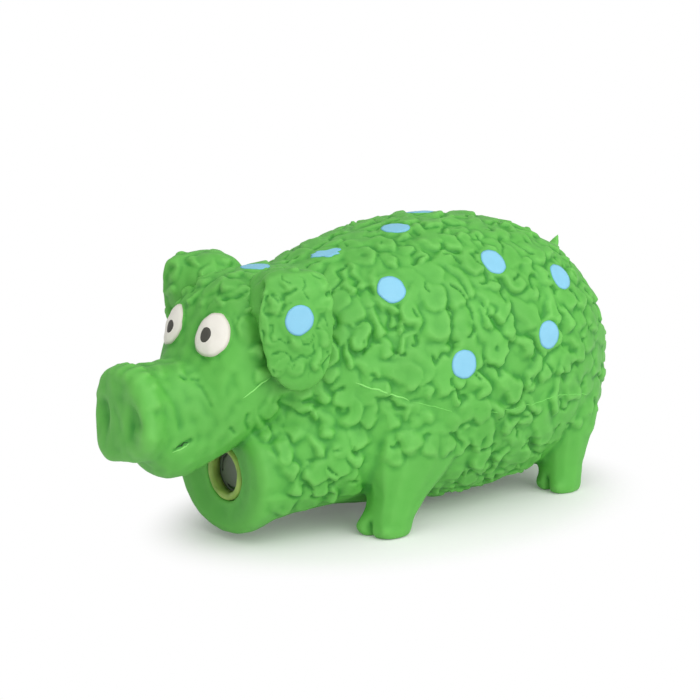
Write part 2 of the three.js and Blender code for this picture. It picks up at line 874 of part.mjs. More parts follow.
// The skin of the body and chest before it is parted, with its sleeve and openings
function torsoSkin() {
  const sleeveFront = chestFront + wall;
  const sleeveRear = collarFront + sleeveDepth;
  const sleeve = rod(sleeveRadius, sleeveFront, sleeveRear, roundSides);
  const dishBack = rod(dishRadius, chestFront, dishRear, roundSides);
  const bore = rod(boreRadius, chestFront - cutOverrun, sleeveRear + cutOverrun, roundSides);
  const hollow = torsoSolid(wall)
    .subtract(toSolid(sleeve.translate(0, 0, squeakerHeight)))
    .subtract(toSolid(dishBack.translate(0, 0, squeakerHeight)));
  let skin = torsoSolid(0)
    .subtract(dishSolid())
    .subtract(hollow)
    .subtract(toSolid(bore.translate(0, 0, squeakerHeight)))
    .subtract(formSolid(headForm, wall));
  for (const form of Object.values(legForms)) {
    skin = skin.subtract(formSolid(form, wall));
  }
  return skin.subtract(tailSocket());
}

// The three parts of the body's skin: the belly, the flank between the cuts, and the back
function skinMeshes() {
  const skin = torsoSkin();
  const half = seamGap / 2;
  const down = cutNormal.map((value) => -value);
  const belly = skin.trimByPlane(down, -(lowerCut - half));
  const back = skin.trimByPlane(cutNormal, upperCut + half);
  const flank = skin.trimByPlane(cutNormal, lowerCut + half).trimByPlane(down, -(upperCut - half));
  return [
    toMesh('belly_skin', belly, finish(latexGreen, latexRoughness)),
    toMesh('flank_skin', flank, finish(latexGreen, latexRoughness)),
    toMesh('back_skin', back, finish(latexGreen, latexRoughness)),
  ];
}

// The skin of the head, open towards the body
function headSkinSolid(torsoCutter) {
  return formSolid(headForm, 0)
    .subtract(formSolid(headForm, wall))
    .subtract(nostrilsSolid())
    .subtract(torsoCutter);
}

// The wad of fibre that fills the body round the squeaker
function bodyFillSolid() {
  const roomRear = barrelRear + fillClearance;
  const room = rod(sleeveRadius + fillClearance, chestFront, roomRear, roundSides);
  const frontRoom = rod(dishRadius + fillClearance, chestFront, dishRear + fillClearance, roundSides);
  return torsoSolid(wall + fillClearance)
    .subtract(toSolid(room.translate(0, 0, squeakerHeight)))
    .subtract(toSolid(frontRoom.translate(0, 0, squeakerHeight)));
}

// The wad of fibre in the head
function headFillSolid(torsoCutter) {
  return formSolid(headForm, wall + fillClearance).subtract(torsoCutter);
}

// The whole toy, centred over the origin
function makeToy() {
  const whole = new THREE.Group();
  const toy = new THREE.Group();
  toy.position.y = -(noseFront + bodyRear) / 2;
  whole.add(toy);
  const latex = () => finish(latexGreen, latexRoughness);
  const fibre = () => finish(fibreWhite, fibreRoughness);
  const torsoCutter = torsoSolid(-seamGap);
  const headCutter = formSolid(headForm, -seamGap);

  toy.add(...skinMeshes());
  toy.add(toMesh('head_skin', headSkinSolid(torsoCutter), latex()));
  for (const [name, form] of Object.entries(legForms)) {
    toy.add(toMesh(name, legSolid(form, torsoCutter), latex()));
  }
  toy.add(toMesh('left_ear', earSolid(1, headCutter, torsoCutter), latex()));
  toy.add(toMesh('right_ear', earSolid(-1, headCutter, torsoCutter), latex()));
  toy.add(toMesh('tail', tailSolid(), latex()));

  for (const [name, side] of [['left', 1], ['right', -1]]) {
    const white = eyeWhiteSolid(side, 0).subtract(headCutter);
    toy.add(toMesh(`${name}_eye_white`, white, finish(eyeWhite, paintRoughness)));
    toy.add(toMesh(`${name}_pupil`, pupilSolid(side), finish(pupilBlack, paintRoughness)));
  }
  for (const [name, shares] of Object.entries(bodySpotShares)) {
    toy.add(spotMesh(name, bodyForm, shares));
  }
  toy.add(spotMesh('crown_spot', headForm, crownSpotShares));
  toy.add(earSpotMesh('left_ear_spot', 1));
  toy.add(earSpotMesh('right_ear_spot', -1));
  toy.add(squeakerGroup());
  toy.add(toMesh('body_fill', bodyFillSolid(), fibre()));
  toy.add(toMesh('head_fill', headFillSolid(torsoCutter), fibre()));
  return whole;
}

export default makeToy();
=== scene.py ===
"""Looks of a moulded latex squeeze toy: a fat standing pig with a sculpted woolly coat.

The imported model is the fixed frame. The coat, the ears, the paint and the squeaker's lip are
modelled here over it. Points are worked on in millimetres and stored in metres.
"""

import logging
import math
from dataclasses import dataclass, field
from enum import Enum
from itertools import pairwise, product
from typing import Any, Callable, NamedTuple, Optional, Sequence

import bmesh
import bpy
import numpy as np
from mathutils import Euler, Matrix, Vector, noise
from mathutils.bvhtree import BVHTree


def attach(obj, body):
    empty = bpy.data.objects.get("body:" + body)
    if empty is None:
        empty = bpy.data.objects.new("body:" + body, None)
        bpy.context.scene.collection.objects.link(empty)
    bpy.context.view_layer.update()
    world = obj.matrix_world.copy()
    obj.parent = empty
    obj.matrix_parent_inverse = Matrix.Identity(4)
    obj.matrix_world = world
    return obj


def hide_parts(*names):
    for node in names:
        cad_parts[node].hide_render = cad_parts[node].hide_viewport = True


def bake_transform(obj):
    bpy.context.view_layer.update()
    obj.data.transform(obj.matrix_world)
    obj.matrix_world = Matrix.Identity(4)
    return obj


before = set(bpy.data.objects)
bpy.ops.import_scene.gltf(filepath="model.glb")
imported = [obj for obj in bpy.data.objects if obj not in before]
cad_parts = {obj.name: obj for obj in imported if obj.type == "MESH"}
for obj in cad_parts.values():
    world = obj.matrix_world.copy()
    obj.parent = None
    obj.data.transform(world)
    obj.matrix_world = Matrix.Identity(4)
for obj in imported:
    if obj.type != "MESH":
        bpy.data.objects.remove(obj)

Array = np.ndarray
Point = tuple[float, float, float]
Path = tuple[Point, ...]
Range = tuple[float, float]
Piece = bpy.types.Object
Material = bpy.types.Material
Tree = bpy.types.NodeTree
Socket = bpy.types.NodeSocket
Shape = bmesh.types.BMesh

LOG = logging.getLogger("pig_toy")
MM = 0.001
FAR = math.inf
SEED = 20
SIDES = {1: "left", -1: "right"}

# Odd numbers with well mixed bits, for the noise's random slopes
NOISE_KEYS = np.array(
    [0x9E3779B97F4A7C15, 0xC2B2AE3D27D4EB4F, 0x165667B19E3779F9]
    + [0x27D4EB2F165667C5, 0xFF51AFD7ED558CCD, 0xC4CEB9FE1A85EC53],
    dtype=np.uint64,
)
NOISE_GAIN = 1.5

# The steps of a smoothing round that first shrinks and then swells, and the number of rounds
# that level a coat and that a relief is measured over
SHRINK_AND_SWELL = (0.52, -0.53)
LEVEL_ROUNDS = 60
RELIEF_ROUNDS = 6

# Where a ray towards the surface starts over a patch of paint, and how far it reaches
PROBE_START = 8.0
PROBE_REACH = 20.0

SQUEAKER_HEIGHT = 24.5
MOUTH: Path = ((15.0, -97.6, 41.4), (15.7, -94.8, 42.7), (16.2, -91.6, 44.0))


def smooth_step(low: float, high: float, value: Array) -> Array:
    """A smooth rise from 0 at low to 1 at high, or a fall where high is the lower one."""
    t = np.clip((value - low) / (high - low), 0.0, 1.0)
    return t * t * (3.0 - 2.0 * t)


def linear(hex_code: str) -> tuple[float, ...]:
    """The linear red, green and blue of six hex digits of sRGB, and an alpha of 1."""
    channels = [int(hex_code[start : start + 2], 16) / 255.0 for start in (0, 2, 4)]
    return (*(c / 12.92 if c <= 0.04045 else ((c + 0.055) / 1.055) ** 2.4 for c in channels), 1.0)


def dots(first: Array, second: Array) -> Array:
    """The dot product of each pair of rows."""
    return np.einsum("ij,ij->i", first, second)


def unit(rows: Array) -> Array:
    """The rows at a length of 1."""
    return rows / np.maximum(np.linalg.norm(rows, axis=1), 1e-9)[:, None]


def summed(owner: Array, rows: Array, count: int) -> Array:
    """The sum of the rows that belong to each owner, always added in the same order."""
    return np.stack([np.bincount(owner, column, count) for column in rows.T], axis=1)


def read(items: Any, name: str, width: int, kind: type) -> Array:
    """One row of values for each item of a mesh."""
    flat = np.empty(len(items) * width, dtype=kind)
    items.foreach_get(name, flat)
    return flat.reshape(-1, width)


def noise_at(points: Array, grain: float, offset: float = 0.0) -> Array:
    """Three fields of gradient noise at some points, the same in every run.

    Args:
        points: One row a point, in millimetres.
        grain: The size of the noise's blobs, in millimetres.
        offset: Moves the pattern, so that two fields differ.

    Returns:
        One row a point, each value about -1 to 1.
    """
    place = points / grain + offset
    cell = np.floor(place).astype(np.int64)
    inner = place - cell
    fade = inner**3 * (inner * (inner * 6.0 - 15.0) + 10.0)
    total = np.zeros((len(points), 3))
    for corner in product((0, 1), repeat=3):
        weight = np.prod(np.where(corner, fade, 1.0 - fade), axis=1)
        x, y, z = (cell + corner).astype(np.uint64).T
        seed = x * NOISE_KEYS[0] ^ y * NOISE_KEYS[1] ^ z * NOISE_KEYS[2]
        for number in range(3):
            code = seed + np.uint64(number) * NOISE_KEYS[3]
            for key in NOISE_KEYS[4:]:
                code = (code ^ code >> np.uint64(33)) * key
            for axis, shift in enumerate((20, 32, 44)):
                slope = (code >> np.uint64(shift) & np.uint64(1023)) / 511.5 - 1.0
                total[:, number] += weight * slope * (inner[:, axis] - corner[axis])
    return NOISE_GAIN * total


def folds_at(points: Array) -> Array:
    """Where the clay was pushed over itself: a slope that ends in a short sharp crease.

    Args:
        points: One row a point, in millimetres.

    Returns:
        How deep each point lies in a fold, from 0 to 1.
    """
    wander = points + 1.8 * noise_at(points, 5.0, 31.0)
    line = noise_at(wander, 10.0, 15.0)[:, 0]
    shown = smooth_step(-0.02, 0.16, noise_at(points, 8.0, 23.0)[:, 1])
    slope = np.clip(1.0 + line / 0.26, 0.0, 1.0) ** 1.6
    wall = smooth_step(0.09, 0.0, line)
    return shown * np.where(line < 0.0, slope, wall)


def linked(name: str, data: Any) -> Piece:
    """An object of the scene at the origin, with its data."""
    made = bpy.data.objects.new(name, data)
    bpy.context.scene.collection.objects.link(made)
    return made


def new_object(name: str, shape: Shape) -> Piece:
    """Turns a shape into an object of the scene."""
    mesh = bpy.data.meshes.new(name)
    shape.to_mesh(mesh)
    shape.free()
    return linked(name, mesh)


def dress(piece: Piece, material: Material) -> None:
    """Shades every face of a piece smooth and gives it its finish."""
    piece.data.polygons.foreach_set("use_smooth", [True] * len(piece.data.polygons))
    piece.data.update()
    piece.data.materials.append(material)


def feed(tree: Tree, node: bpy.types.Node, inputs: dict) -> None:
    """Gives inputs of a node, by name or number, a value or the output that feeds them."""
    for key, value in inputs.items():
        if isinstance(value, Socket):
            tree.links.new(value, node.inputs[key])
        else:
            node.inputs[key].default_value = value


def add_node(
    tree: Tree, kind: str, inputs: Optional[dict] = None, **settings: Any
) -> bpy.types.Node:
    """Adds a shader node with its settings, values and links.

    Args:
        tree: The node tree.
        kind: The node's type name, without the ShaderNode that it starts with.
        inputs: For each input, by name or number, a value or the output that feeds it.
        settings: Attributes to set on the node.

    Returns:
        The new node.
    """
    node = tree.nodes.new(f"ShaderNode{kind}")
    for key, value in settings.items():
        setattr(node, key, value)
    feed(tree, node, inputs or {})
    return node


def grain(tree: Tree, size_mm: float, detail: float) -> Socket:
    """Noise on the object's own coordinates, with blobs of a size in millimetres."""
    place = add_node(tree, "TexCoord").outputs["Object"]
    inputs = {"Vector": place, "Scale": 1.0 / (size_mm * MM), "Detail": detail}
    return add_node(tree, "TexNoise", inputs).outputs["Fac"]


def remap(tree: Tree, value: Socket, old: Range, new: Range, **settings: Any) -> Socket:
    """A value brought from one range to another."""
    inputs = dict(zip(("From Min", "From Max", "To Min", "To Max"), (*old, *new)))
    return add_node(tree, "MapRange", {"Value": value, **inputs}, **settings).outputs["Result"]


def mixed(tree: Tree, share: Socket, first: str, second: str) -> Socket:
    """A mix of two colours given as hex digits."""
    inputs = {"Factor": share, 6: linear(first), 7: linear(second)}
    return add_node(tree, "Mix", inputs, data_type="RGBA").outputs[2]


def bumped(tree: Tree, height: Socket, strength: float, depth_mm: float) -> Socket:
    """A surface that rises and falls with a height."""
    inputs = {"Height": height, "Strength": strength, "Distance": depth_mm * MM}
    return add_node(tree, "Bump", inputs).outputs["Normal"]


@dataclass(frozen=True)
class Finish:
    """A material of the toy, procedural on the object's own coordinates."""

    name: str

    def surface(self, tree: Tree) -> dict[str, Any]:
        """What feeds each input of the shader."""
        raise NotImplementedError

    def build(self) -> Material:
        """Builds the material.

        Returns:
            The finished material.
        """
        material = bpy.data.materials.new(self.name)
        material.use_nodes = True
        tree = material.node_tree
        feed(tree, tree.nodes["Principled BSDF"], {"IOR": 1.5, **self.surface(tree)})
        return material


@dataclass(frozen=True)
class MouldedLatex(Finish):
    """Dipped natural latex with pigment in it, cast in a sculpted mould.

    To the eye it is a saturated matt green with a waxy sheen. Its colour carries painted shade,
    deeper and bluer in the creases, and a painted highlight, a little yellower on the thin proud
    edges.
    """

    body: str = "59ae44"
    # Where the relief is the sculpted height, the crease colour is painted shade and the edge
    # colour a painted highlight
    crease: str = "368f2e"
    edge: str = "6abc52"
    roughness: float = 0.5
    blotch_mm: float = 22.0
    pore_mm: float = 0.9

    def surface(self, tree: Tree) -> dict[str, Any]:
        """The colour follows the stored relief, with painted shade in the creases and a painted
        highlight on the proud edges; the pores break up its sheen.
        """
        relief = add_node(tree, "Attribute", attribute_name="relief").outputs["Fac"]
        # The ramp runs from painted shade at low relief to a painted highlight at high relief
        ramp = add_node(tree, "ValToRGB", {"Fac": relief})
        low, high = ramp.color_ramp.elements
        low.position, low.color = 0.12, linear(self.crease)
        high.position, high.color = 0.92, linear(self.edge)
        ramp.color_ramp.elements.new(0.5).color = linear(self.body)
        tone = remap(tree, grain(tree, self.blotch_mm, 3.0), (0.3, 0.7), (0.94, 1.06))
        colour = add_node(tree, "HueSaturation", {"Value": tone, "Color": ramp.outputs["Color"]})
        pores = grain(tree, self.pore_mm, 4.0)
        matt = (self.roughness - 0.08, self.roughness + 0.1)
        return {
            "Base Color": colour.outputs["Color"],
            "Roughness": remap(tree, pores, (0.0, 1.0), matt),
            "Normal": bumped(tree, pores, 0.12, 0.15),
            "Specular IOR Level": 0.35,
        }


@dataclass(frozen=True)
class HandPaint(Finish):
    """Flexible paint laid on the latex by hand with a stamp: flat, with a slightly thicker rim."""

    body: str
    shade: str
    roughness: float = 0.55
    blotch_mm: float = 4.0

    def surface(self, tree: Tree) -> dict[str, Any]:
        """The shade shows at the stored rim and in faint blotches."""
        rim = add_node(tree, "Attribute", attribute_name="rim").outputs["Fac"]
        blotch = grain(tree, self.blotch_mm, 3.0)
        patchy = remap(tree, blotch, (0.35, 0.75), (0.0, 0.16))
        share = add_node(tree, "Math", {0: rim, 1: patchy}, operation="MAXIMUM").outputs[0]
        return {
            "Base Color": mixed(tree, share, self.body, self.shade),
            "Roughness": self.roughness,
            "Normal": bumped(tree, blotch, 0.15, 0.2),
        }


@dataclass(frozen=True)
class MouldedPlastic(Finish):
    """Injection moulded plastic: even colour, a fine grain from the tool and a soft gloss."""

    body: str
    shade: str
    roughness: float = 0.4
    grain_mm: float = 0.5

    def surface(self, tree: Tree) -> dict[str, Any]:
        """Soft clouds of the shade, ten times as large as the grain."""
        cloud = grain(tree, 10.0 * self.grain_mm, 2.0)
        return {
            "Base Color": mixed(tree, cloud, self.body, self.shade),
            "Roughness": self.roughness,
            "Normal": bumped(tree, grain(tree, self.grain_mm, 3.0), 0.15, 0.1),
        }


def made(finish: Finish) -> Any:
    """A field that holds the material of a finish."""
    return field(default_factory=finish.build)


@dataclass(frozen=True)
class Finishes:
    """Every finish of the toy."""

    latex: Material = made(MouldedLatex("green_moulded_latex"))
    lip: Material = made(MouldedLatex("olive_latex_lip", "9ab85a", "6c903c", "b4c86c", 0.4))
    # Lighter copies of the latex, as a painted highlight along the flash and seam lines
    flash: Material = made(MouldedLatex("latex_flash_painted_highlight", "98e07c", "8adb70", "a8ec8c"))
    seam: Material = made(MouldedLatex("latex_seam_painted_highlight", "7fd062", "74cb5c", "93dc76"))
    # A near-black latex, as painted shade in the mouth's slit
    slit: Material = made(MouldedLatex("latex_slit_painted_shade", "1d5a1f", "123f14", "2a6e2a"))
    blue: Material = made(HandPaint("blue_hand_paint", "86c5e0", "64b0d0"))
    white: Material = made(HandPaint("white_hand_paint", "ebe8de", "d3ccbd"))
    black: Material = made(HandPaint("black_hand_paint", "484740", "22221f"))
    plastic: Material = made(MouldedPlastic("squeaker_polythene", "6b7565", "5f6b5b"))
    film: Material = made(MouldedPlastic("reed_polyester_film", "d8dcd6", "c4cac2", 0.25))


class Clay:
    """A mesh held as arrays in millimetres, so that its points can be moved like clay."""

    def __init__(self, piece: Piece) -> None:
        """Reads the points, edges and corners of a piece.

        Args:
            piece: The mesh object to sculpt.
        """
        self.mesh = piece.data
        self.points = read(self.mesh.vertices, "co", 3, float) / MM
        self.ends = read(self.mesh.edges, "vertices", 2, np.int64)
        self.degree = np.maximum(np.bincount(self.ends.ravel(), minlength=len(self.points)), 1)
        self.corners = read(self.mesh.loops, "vertex_index", 1, np.int64)[:, 0]
        sides = read(self.mesh.polygons, "loop_total", 1, np.int64)[:, 0]
        last = np.cumsum(sides) - 1
        self.face_of = np.repeat(np.arange(len(sides)), sides)
        self.following = np.arange(len(self.corners)) + 1
        self.following[last] = last - sides + 1

    def around(self, values: Array) -> Array:
        """The mean of the neighbours' values at each point."""
        flat = values.reshape(len(values), -1)
        first, second = self.ends.T
        total = summed(first, flat[second], len(flat)) + summed(second, flat[first], len(flat))
        return (total / self.degree[:, None]).reshape(values.shape)

    def relax(self, rounds: int) -> None:
        """Smooths the points without shrinking the shape."""
        for step in SHRINK_AND_SWELL * rounds:
            self.points += step * (self.around(self.points) - self.points)

    def soften(self, rounds: int, weight: Optional[Array] = None) -> None:
        """Smooths the points plainly, which also wears edges down.

        Args:
            rounds: How often.
            weight: How much of it each point takes, or None for all of it.
        """
        share = 1.0 if weight is None else weight[:, None]
        for _ in range(rounds):
            self.points += share * 0.5 * (self.around(self.points) - self.points)

    def blur(self, values: Array, rounds: int) -> Array:
        """A field on the points, spread over its neighbours."""
        for _ in range(rounds):
            values = 0.5 * (values + self.around(values))
        return values

    def normals(self) -> Array:
        """The outward direction at each point."""
        here = self.points[self.corners]
        turned = np.cross(here, here[self.following])
        faces = summed(self.face_of, turned, int(self.face_of[-1]) + 1)
        return unit(summed(self.corners, faces[self.face_of], len(self.points)))

    def write(self) -> None:
        """Puts the points back into the mesh."""
        self.mesh.vertices.foreach_set("co", (self.points * MM).ravel())
        self.mesh.update()

    def store_relief(self, values: Array) -> None:
        """Keeps the relief on the mesh for the latex to read, and puts the points back."""
        attribute = self.mesh.attributes.new("relief", "FLOAT", "POINT")
        attribute.data.foreach_set("value", values.astype(np.float32))
        self.write()

    def finish(self, reach: float) -> None:
        """Ends the sculpting: stores how proud each point lies, from 0 in a crease to 1.

        Args:
            reach: The height over the smoothed surface that counts as fully proud, in mm.
        """
        smooth = self.points
        for _ in range(RELIEF_ROUNDS):
            smooth = self.around(smooth)
        height = dots(self.points - smooth, self.normals())
        self.store_relief(np.clip(0.5 + 0.5 * height / reach, 0.0, 1.0))

    def tree(self) -> BVHTree:
        """A search tree of the mesh as it is now, in millimetres."""
        faces = [tuple(face.vertices) for face in self.mesh.polygons]
        return BVHTree.FromPolygons([Vector(p) for p in self.points], faces)


class LockShape(NamedTuple):
    """The sizes of a lock in millimetres, and how far its direction scatters in degrees.

    The length runs back from the middle of its tip, the edge is the width of its step.
    """

    half_width: float
    length: float
    height: float
    edge: float
    scatter: float


class Lock(Enum):
    """The kinds of sculpted lock that the coat is laid with."""

    CHEST = LockShape(4.8, 11.0, 2.3, 1.3, 28.0)
    FLANK = LockShape(6.4, 14.0, 2.9, 1.7, 45.0)
    RUMP = LockShape(5.6, 10.0, 2.4, 1.6, 65.0)
    TOP = LockShape(5.4, 9.0, 2.2, 1.5, 70.0)
    HEAD = LockShape(4.4, 5.0, 2.0, 1.6, 90.0)
    LEG = LockShape(5.6, 7.0, 2.0, 2.0, 60.0)
    HEM = LockShape(3.4, 7.0, 1.7, 1.1, 20.0)
    EAR = LockShape(4.4, 5.5, 1.5, 1.9, 80.0)

    @property
    def number(self) -> int:
        """Its place among the kinds."""
        return list(Lock).index(self)


class Zone(NamedTuple):
    """A box on both sides of the toy, in millimetres; x is the distance from the middle."""

    x: Range = (-FAR, FAR)
    y: Range = (-FAR, FAR)
    z: Range = (-FAR, FAR)

    def holds(self, points: Array) -> Array:
        """Which points lie in it."""
        places = np.column_stack([np.abs(points[:, 0]), points[:, 1:]])
        low, high = np.transpose(self)
        return np.all((places > low) & (places < high), axis=1)


class PointGrid:
    """Points sorted into cubes, so that the ones near a place are found at once."""

    def __init__(self, points: Array, cell: float) -> None:
        """Sorts the points.

        Args:
            points: One row a point, in millimetres.
            cell: The side of a cube.
        """
        self.points = points
        self.cell = cell
        keys = np.floor(points / cell).astype(np.int64)
        order = np.lexsort(keys.T)
        keys = keys[order]
        change = np.flatnonzero(np.any(np.diff(keys, axis=0) != 0, axis=1)) + 1
        parts = zip(np.concatenate([[0], change]), np.split(order, change))
        self.cubes = {tuple(keys[start]): part for start, part in parts}

    def near(self, place: Array, reach: float) -> Array:
        """The numbers of the points within reach of a place."""
        low = np.floor((place - reach) / self.cell).astype(int)
        high = np.floor((place + reach) / self.cell).astype(int)
        keys = product(*(range(a, b + 1) for a, b in zip(low, high)))
        found = np.concatenate([self.cubes[key] for key in keys if key in self.cubes])
        away = self.points[found] - place
        return found[dots(away, away) < reach * reach]


@dataclass
class Coat:
    """A coat of overlapping rounded locks over a surface.

    Attributes:
        locks_at: Gives the number of the lock's kind at each point, or -1 where it is bare.
        grain_at: Gives the way the locks lie there, as vectors that need no unit length.
        seed: The seed of its scatter.
        crowding: How close the locks stand, as a share of their width.
        warp: How far their outlines wander, in millimetres.
        blend: The difference in height below which two locks run into each other.
        cell: The side of the cubes that its points are sorted into.
        widths: What a lock's width is multiplied by at least and at most, as its length and
            height are by lengths and talls.
        lean: How far it leans to one side, in radians.
        bend: How much it curves over its length.
    """

    locks_at: Callable[[Array, Array], Array]
    grain_at: Callable[[Array, Array], Array]
    seed: int = SEED
    crowding: float = 0.7
    warp: float = 2.2
    blend: float = 0.5
    cell: float = 5.0
    widths: Range = (0.6, 1.4)
    lengths: Range = (0.7, 1.35)
    talls: Range = (0.45, 1.2)
    lean: float = 1.3
    bend: float = 0.5

    def scatter(self, grid: PointGrid, kinds: Array) -> list[int]:
        """Picks the points that carry a lock, none too close to another.

        Args:
            grid: The surface's points.
            kinds: The number of the lock's kind at each point.

        Returns:
            The number of each point that is picked.
        """
        widths = np.array([2.0 * lock.value.half_width for lock in Lock])
        spacing = (self.crowding * widths)[kinds]
        free = kinds >= 0
        chosen = []
        for index in np.random.default_rng(self.seed).permutation(np.flatnonzero(free)):
            if free[index]:
                chosen.append(int(index))
                near = grid.near(grid.points[index], float(spacing.max()))
                away = np.linalg.norm(grid.points[near] - grid.points[index], axis=1)
                free[near[away < spacing[near]]] = False
        return chosen

    def heights(self, points: Array, normals: Array) -> Array:
        """How far the coat stands off the surface at each point.

        Args:
            points: The surface's points.
            normals: Their normals.

        Returns:
            The height of the coat over each point, in millimetres.
        """
        grid = PointGrid(points, self.cell)
        kinds = self.locks_at(points, normals)
        wander = self.warp * noise_at(points, 6.0) + 0.22 * self.warp * noise_at(points, 2.8, 9.0)
        lie = self.grain_at(points, normals)
        lie = unit(lie - normals * dots(lie, normals)[:, None])
        rng = np.random.default_rng(self.seed + 1)
        height = np.zeros(len(points))
        shapes = [lock.value for lock in Lock]
        for index in self.scatter(grid, kinds):
            lock = shapes[kinds[index]]
            # A frame on the surface: along the lock towards its tip, and across it
            normal = normals[index]
            turn = rng.normal(0.0, math.radians(lock.scatter))
            side = np.cross(normal, lie[index])
            along = math.cos(turn) * lie[index] + math.sin(turn) * side
            across = np.cross(normal, along)
            half = lock.half_width * rng.uniform(*self.widths)
            length = lock.length * rng.uniform(*self.lengths)
            tall = lock.height * rng.uniform(*self.talls)
            lean = rng.uniform(-self.lean, self.lean)
            bend = rng.uniform(-self.bend, self.bend) / length
            # Each near point's place in that frame, u along the bent lock and t across it
            near = grid.near(points[index], length + half + self.warp)
            away = points[near] - points[index] + wander[near]
            u, t = away @ along, away @ across
            t = t + bend * np.minimum(u, 0.0) ** 2
            facing = (np.abs(away @ normal) < half + 0.35 * length) & (u > -length)
            ahead = np.maximum(u, 0.0)
            out = np.hypot(t, ahead)
            # A lock that widens to its round tip, steepest where it leans, highest in its middle
            broad = half * (0.6 + 0.4 * smooth_step(-length, 0.0, u))
            steep = (ahead * math.cos(lean) + t * math.sin(lean)) / np.maximum(out, 1e-6)
            edge = lock.edge * (1.0 + 1.5 * (1.0 - steep))
            step = smooth_step(0.0, 1.0, (broad - out) / edge)
            rise = np.clip((u + length) / (length + 0.5 * half), 0.0, 1.0)
            crest = np.clip(t / half - 0.5 * math.sin(lean), -1.2, 1.2)
            dome = 1.0 - 0.22 * crest**2
            lifted = np.where(facing, tall * (0.1 + 0.9 * rise) * dome * step, 0.0)
            # It overlaps the ones before it with a soft joint
            apart = np.clip(1.0 - np.abs(height[near] - lifted) / self.blend, 0.0, 1.0)
            fade = np.clip(np.minimum(lifted, height[near]) / self.blend, 0.0, 1.0)
            joined = 0.25 * self.blend * apart**2 * fade
            height[near] = np.maximum(height[near], lifted) + joined
        return height


@dataclass(frozen=True)
class Stroke:
    """A line pressed into the clay with a blunt tool, or a ridge laid on it.

    Attributes:
        path: The points that it runs through, in millimetres.
        half_width: Half the width of the tool.
        depth: How deep it is pressed, or below zero how proud it stands.
    """

    path: Path
    half_width: float
    depth: float

    def press(self, points: Array, normals: Array) -> Array:
        """How far each point moves.

        Args:
            points: The surface's points.
            normals: Their normals.

        Returns:
            The move of each point, on both sides of the toy.
        """
        moved = np.zeros(len(points))
        folded = np.column_stack([np.abs(points[:, 0]), points[:, 1:]])
        for start, end in pairwise(np.array(self.path)):
            way = end - start
            t = np.clip((folded - start) @ way / (way @ way), 0.0, 1.0)
            away = np.linalg.norm(folded - start - t[:, None] * way, axis=1)
            moved = np.maximum(moved, np.exp(-((away / self.half_width) ** 2)))
        return -normals * (self.depth * moved)[:, None]


@dataclass(frozen=True)
class Pinch:
    """A bit of clay taken between the fingers and pulled.

    Attributes:
        place: Where it is taken, in millimetres.
        reach: How far from there the clay still moves.
        move: How far its middle is pulled.
    """

    place: Point
    reach: float
    move: Point

    def pull(self, points: Array) -> Array:
        """The move of each point."""
        away = np.linalg.norm(points - self.place, axis=1)
        return smooth_step(self.reach, 0.0, away)[:, None] * np.array(self.move)


def apply_modifier(piece: Piece, kind: str, **settings: Any) -> None:
    """Puts the result of a modifier in the place of a piece's mesh.

    Args:
        piece: The piece; its fields are carried over.
        kind: The modifier's type name.
        settings: Attributes to set on the modifier.
    """
    old = piece.data
    modifier = piece.modifiers.new(kind, kind)
    for key, value in settings.items():
        setattr(modifier, key, value)
    depsgraph = bpy.context.evaluated_depsgraph_get()
    new = bpy.data.meshes.new_from_object(piece.evaluated_get(depsgraph))
    piece.modifiers.clear()
    piece.data = new
    bpy.data.meshes.remove(old)


def remeshed(name: str, sources: Sequence[Shape], voxel: float) -> Piece:
    """Fuses some closed shells into one even mesh.

    Args:
        name: The new piece's name.
        sources: The shells, in metres.
        voxel: The size of the grid, in millimetres.

    Returns:
        The fused piece, with only its outer shell.
    """
    whole = bmesh.new()
    for source in sources:
        part = bpy.data.meshes.new("part")
        source.to_mesh(part)
        whole.from_mesh(part)
        bpy.data.meshes.remove(part)
        source.free()
    piece = new_object(name, whole)
    apply_modifier(piece, "REMESH", mode="VOXEL", voxel_size=voxel * MM)
    keep_outer_shell(piece.data)
    piece.data.materials.clear()
    return piece


def keep_outer_shell(mesh: bpy.types.Mesh) -> None:
    """Removes the shells of a mesh that lie inside its largest one.

    Args:
        mesh: The mesh, which is changed.
    """
    shape = bmesh.new()
    shape.from_mesh(mesh)
    seen = np.zeros(len(shape.verts), dtype=bool)
    shells = []
    for start in shape.verts:
        if seen[start.index]:
            continue
        seen[start.index] = True
        shell, border = [start], [start]
        while border:
            vertex = border.pop()
            for link in vertex.link_edges:
                other = link.other_vert(vertex)
                if not seen[other.index]:
                    seen[other.index] = True
                    shell.append(other)
                    border.append(other)
        shells.append(shell)
    shells.sort(key=len, reverse=True)
    extra = [vertex for shell in shells[1:] for vertex in shell]
    bmesh.ops.delete(shape, geom=extra, context="VERTS")
    shape.to_mesh(mesh)
    shape.free()


def thin_out(piece: Piece, limit: int) -> None:
    """Joins the smallest faces of a piece where it is smooth, down to a number of triangles."""
    triangles = sum(len(face.vertices) - 2 for face in piece.data.polygons)
    apply_modifier(piece, "DECIMATE", ratio=min(1.0, limit / triangles))


def copy_of_node(name: str) -> Shape:
    """A merged copy of one solid of the frame."""
    shape = bmesh.new()
    shape.from_mesh(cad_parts[name].data)
    bmesh.ops.remove_doubles(shape, verts=shape.verts, dist=0.01 * MM)
    return shape


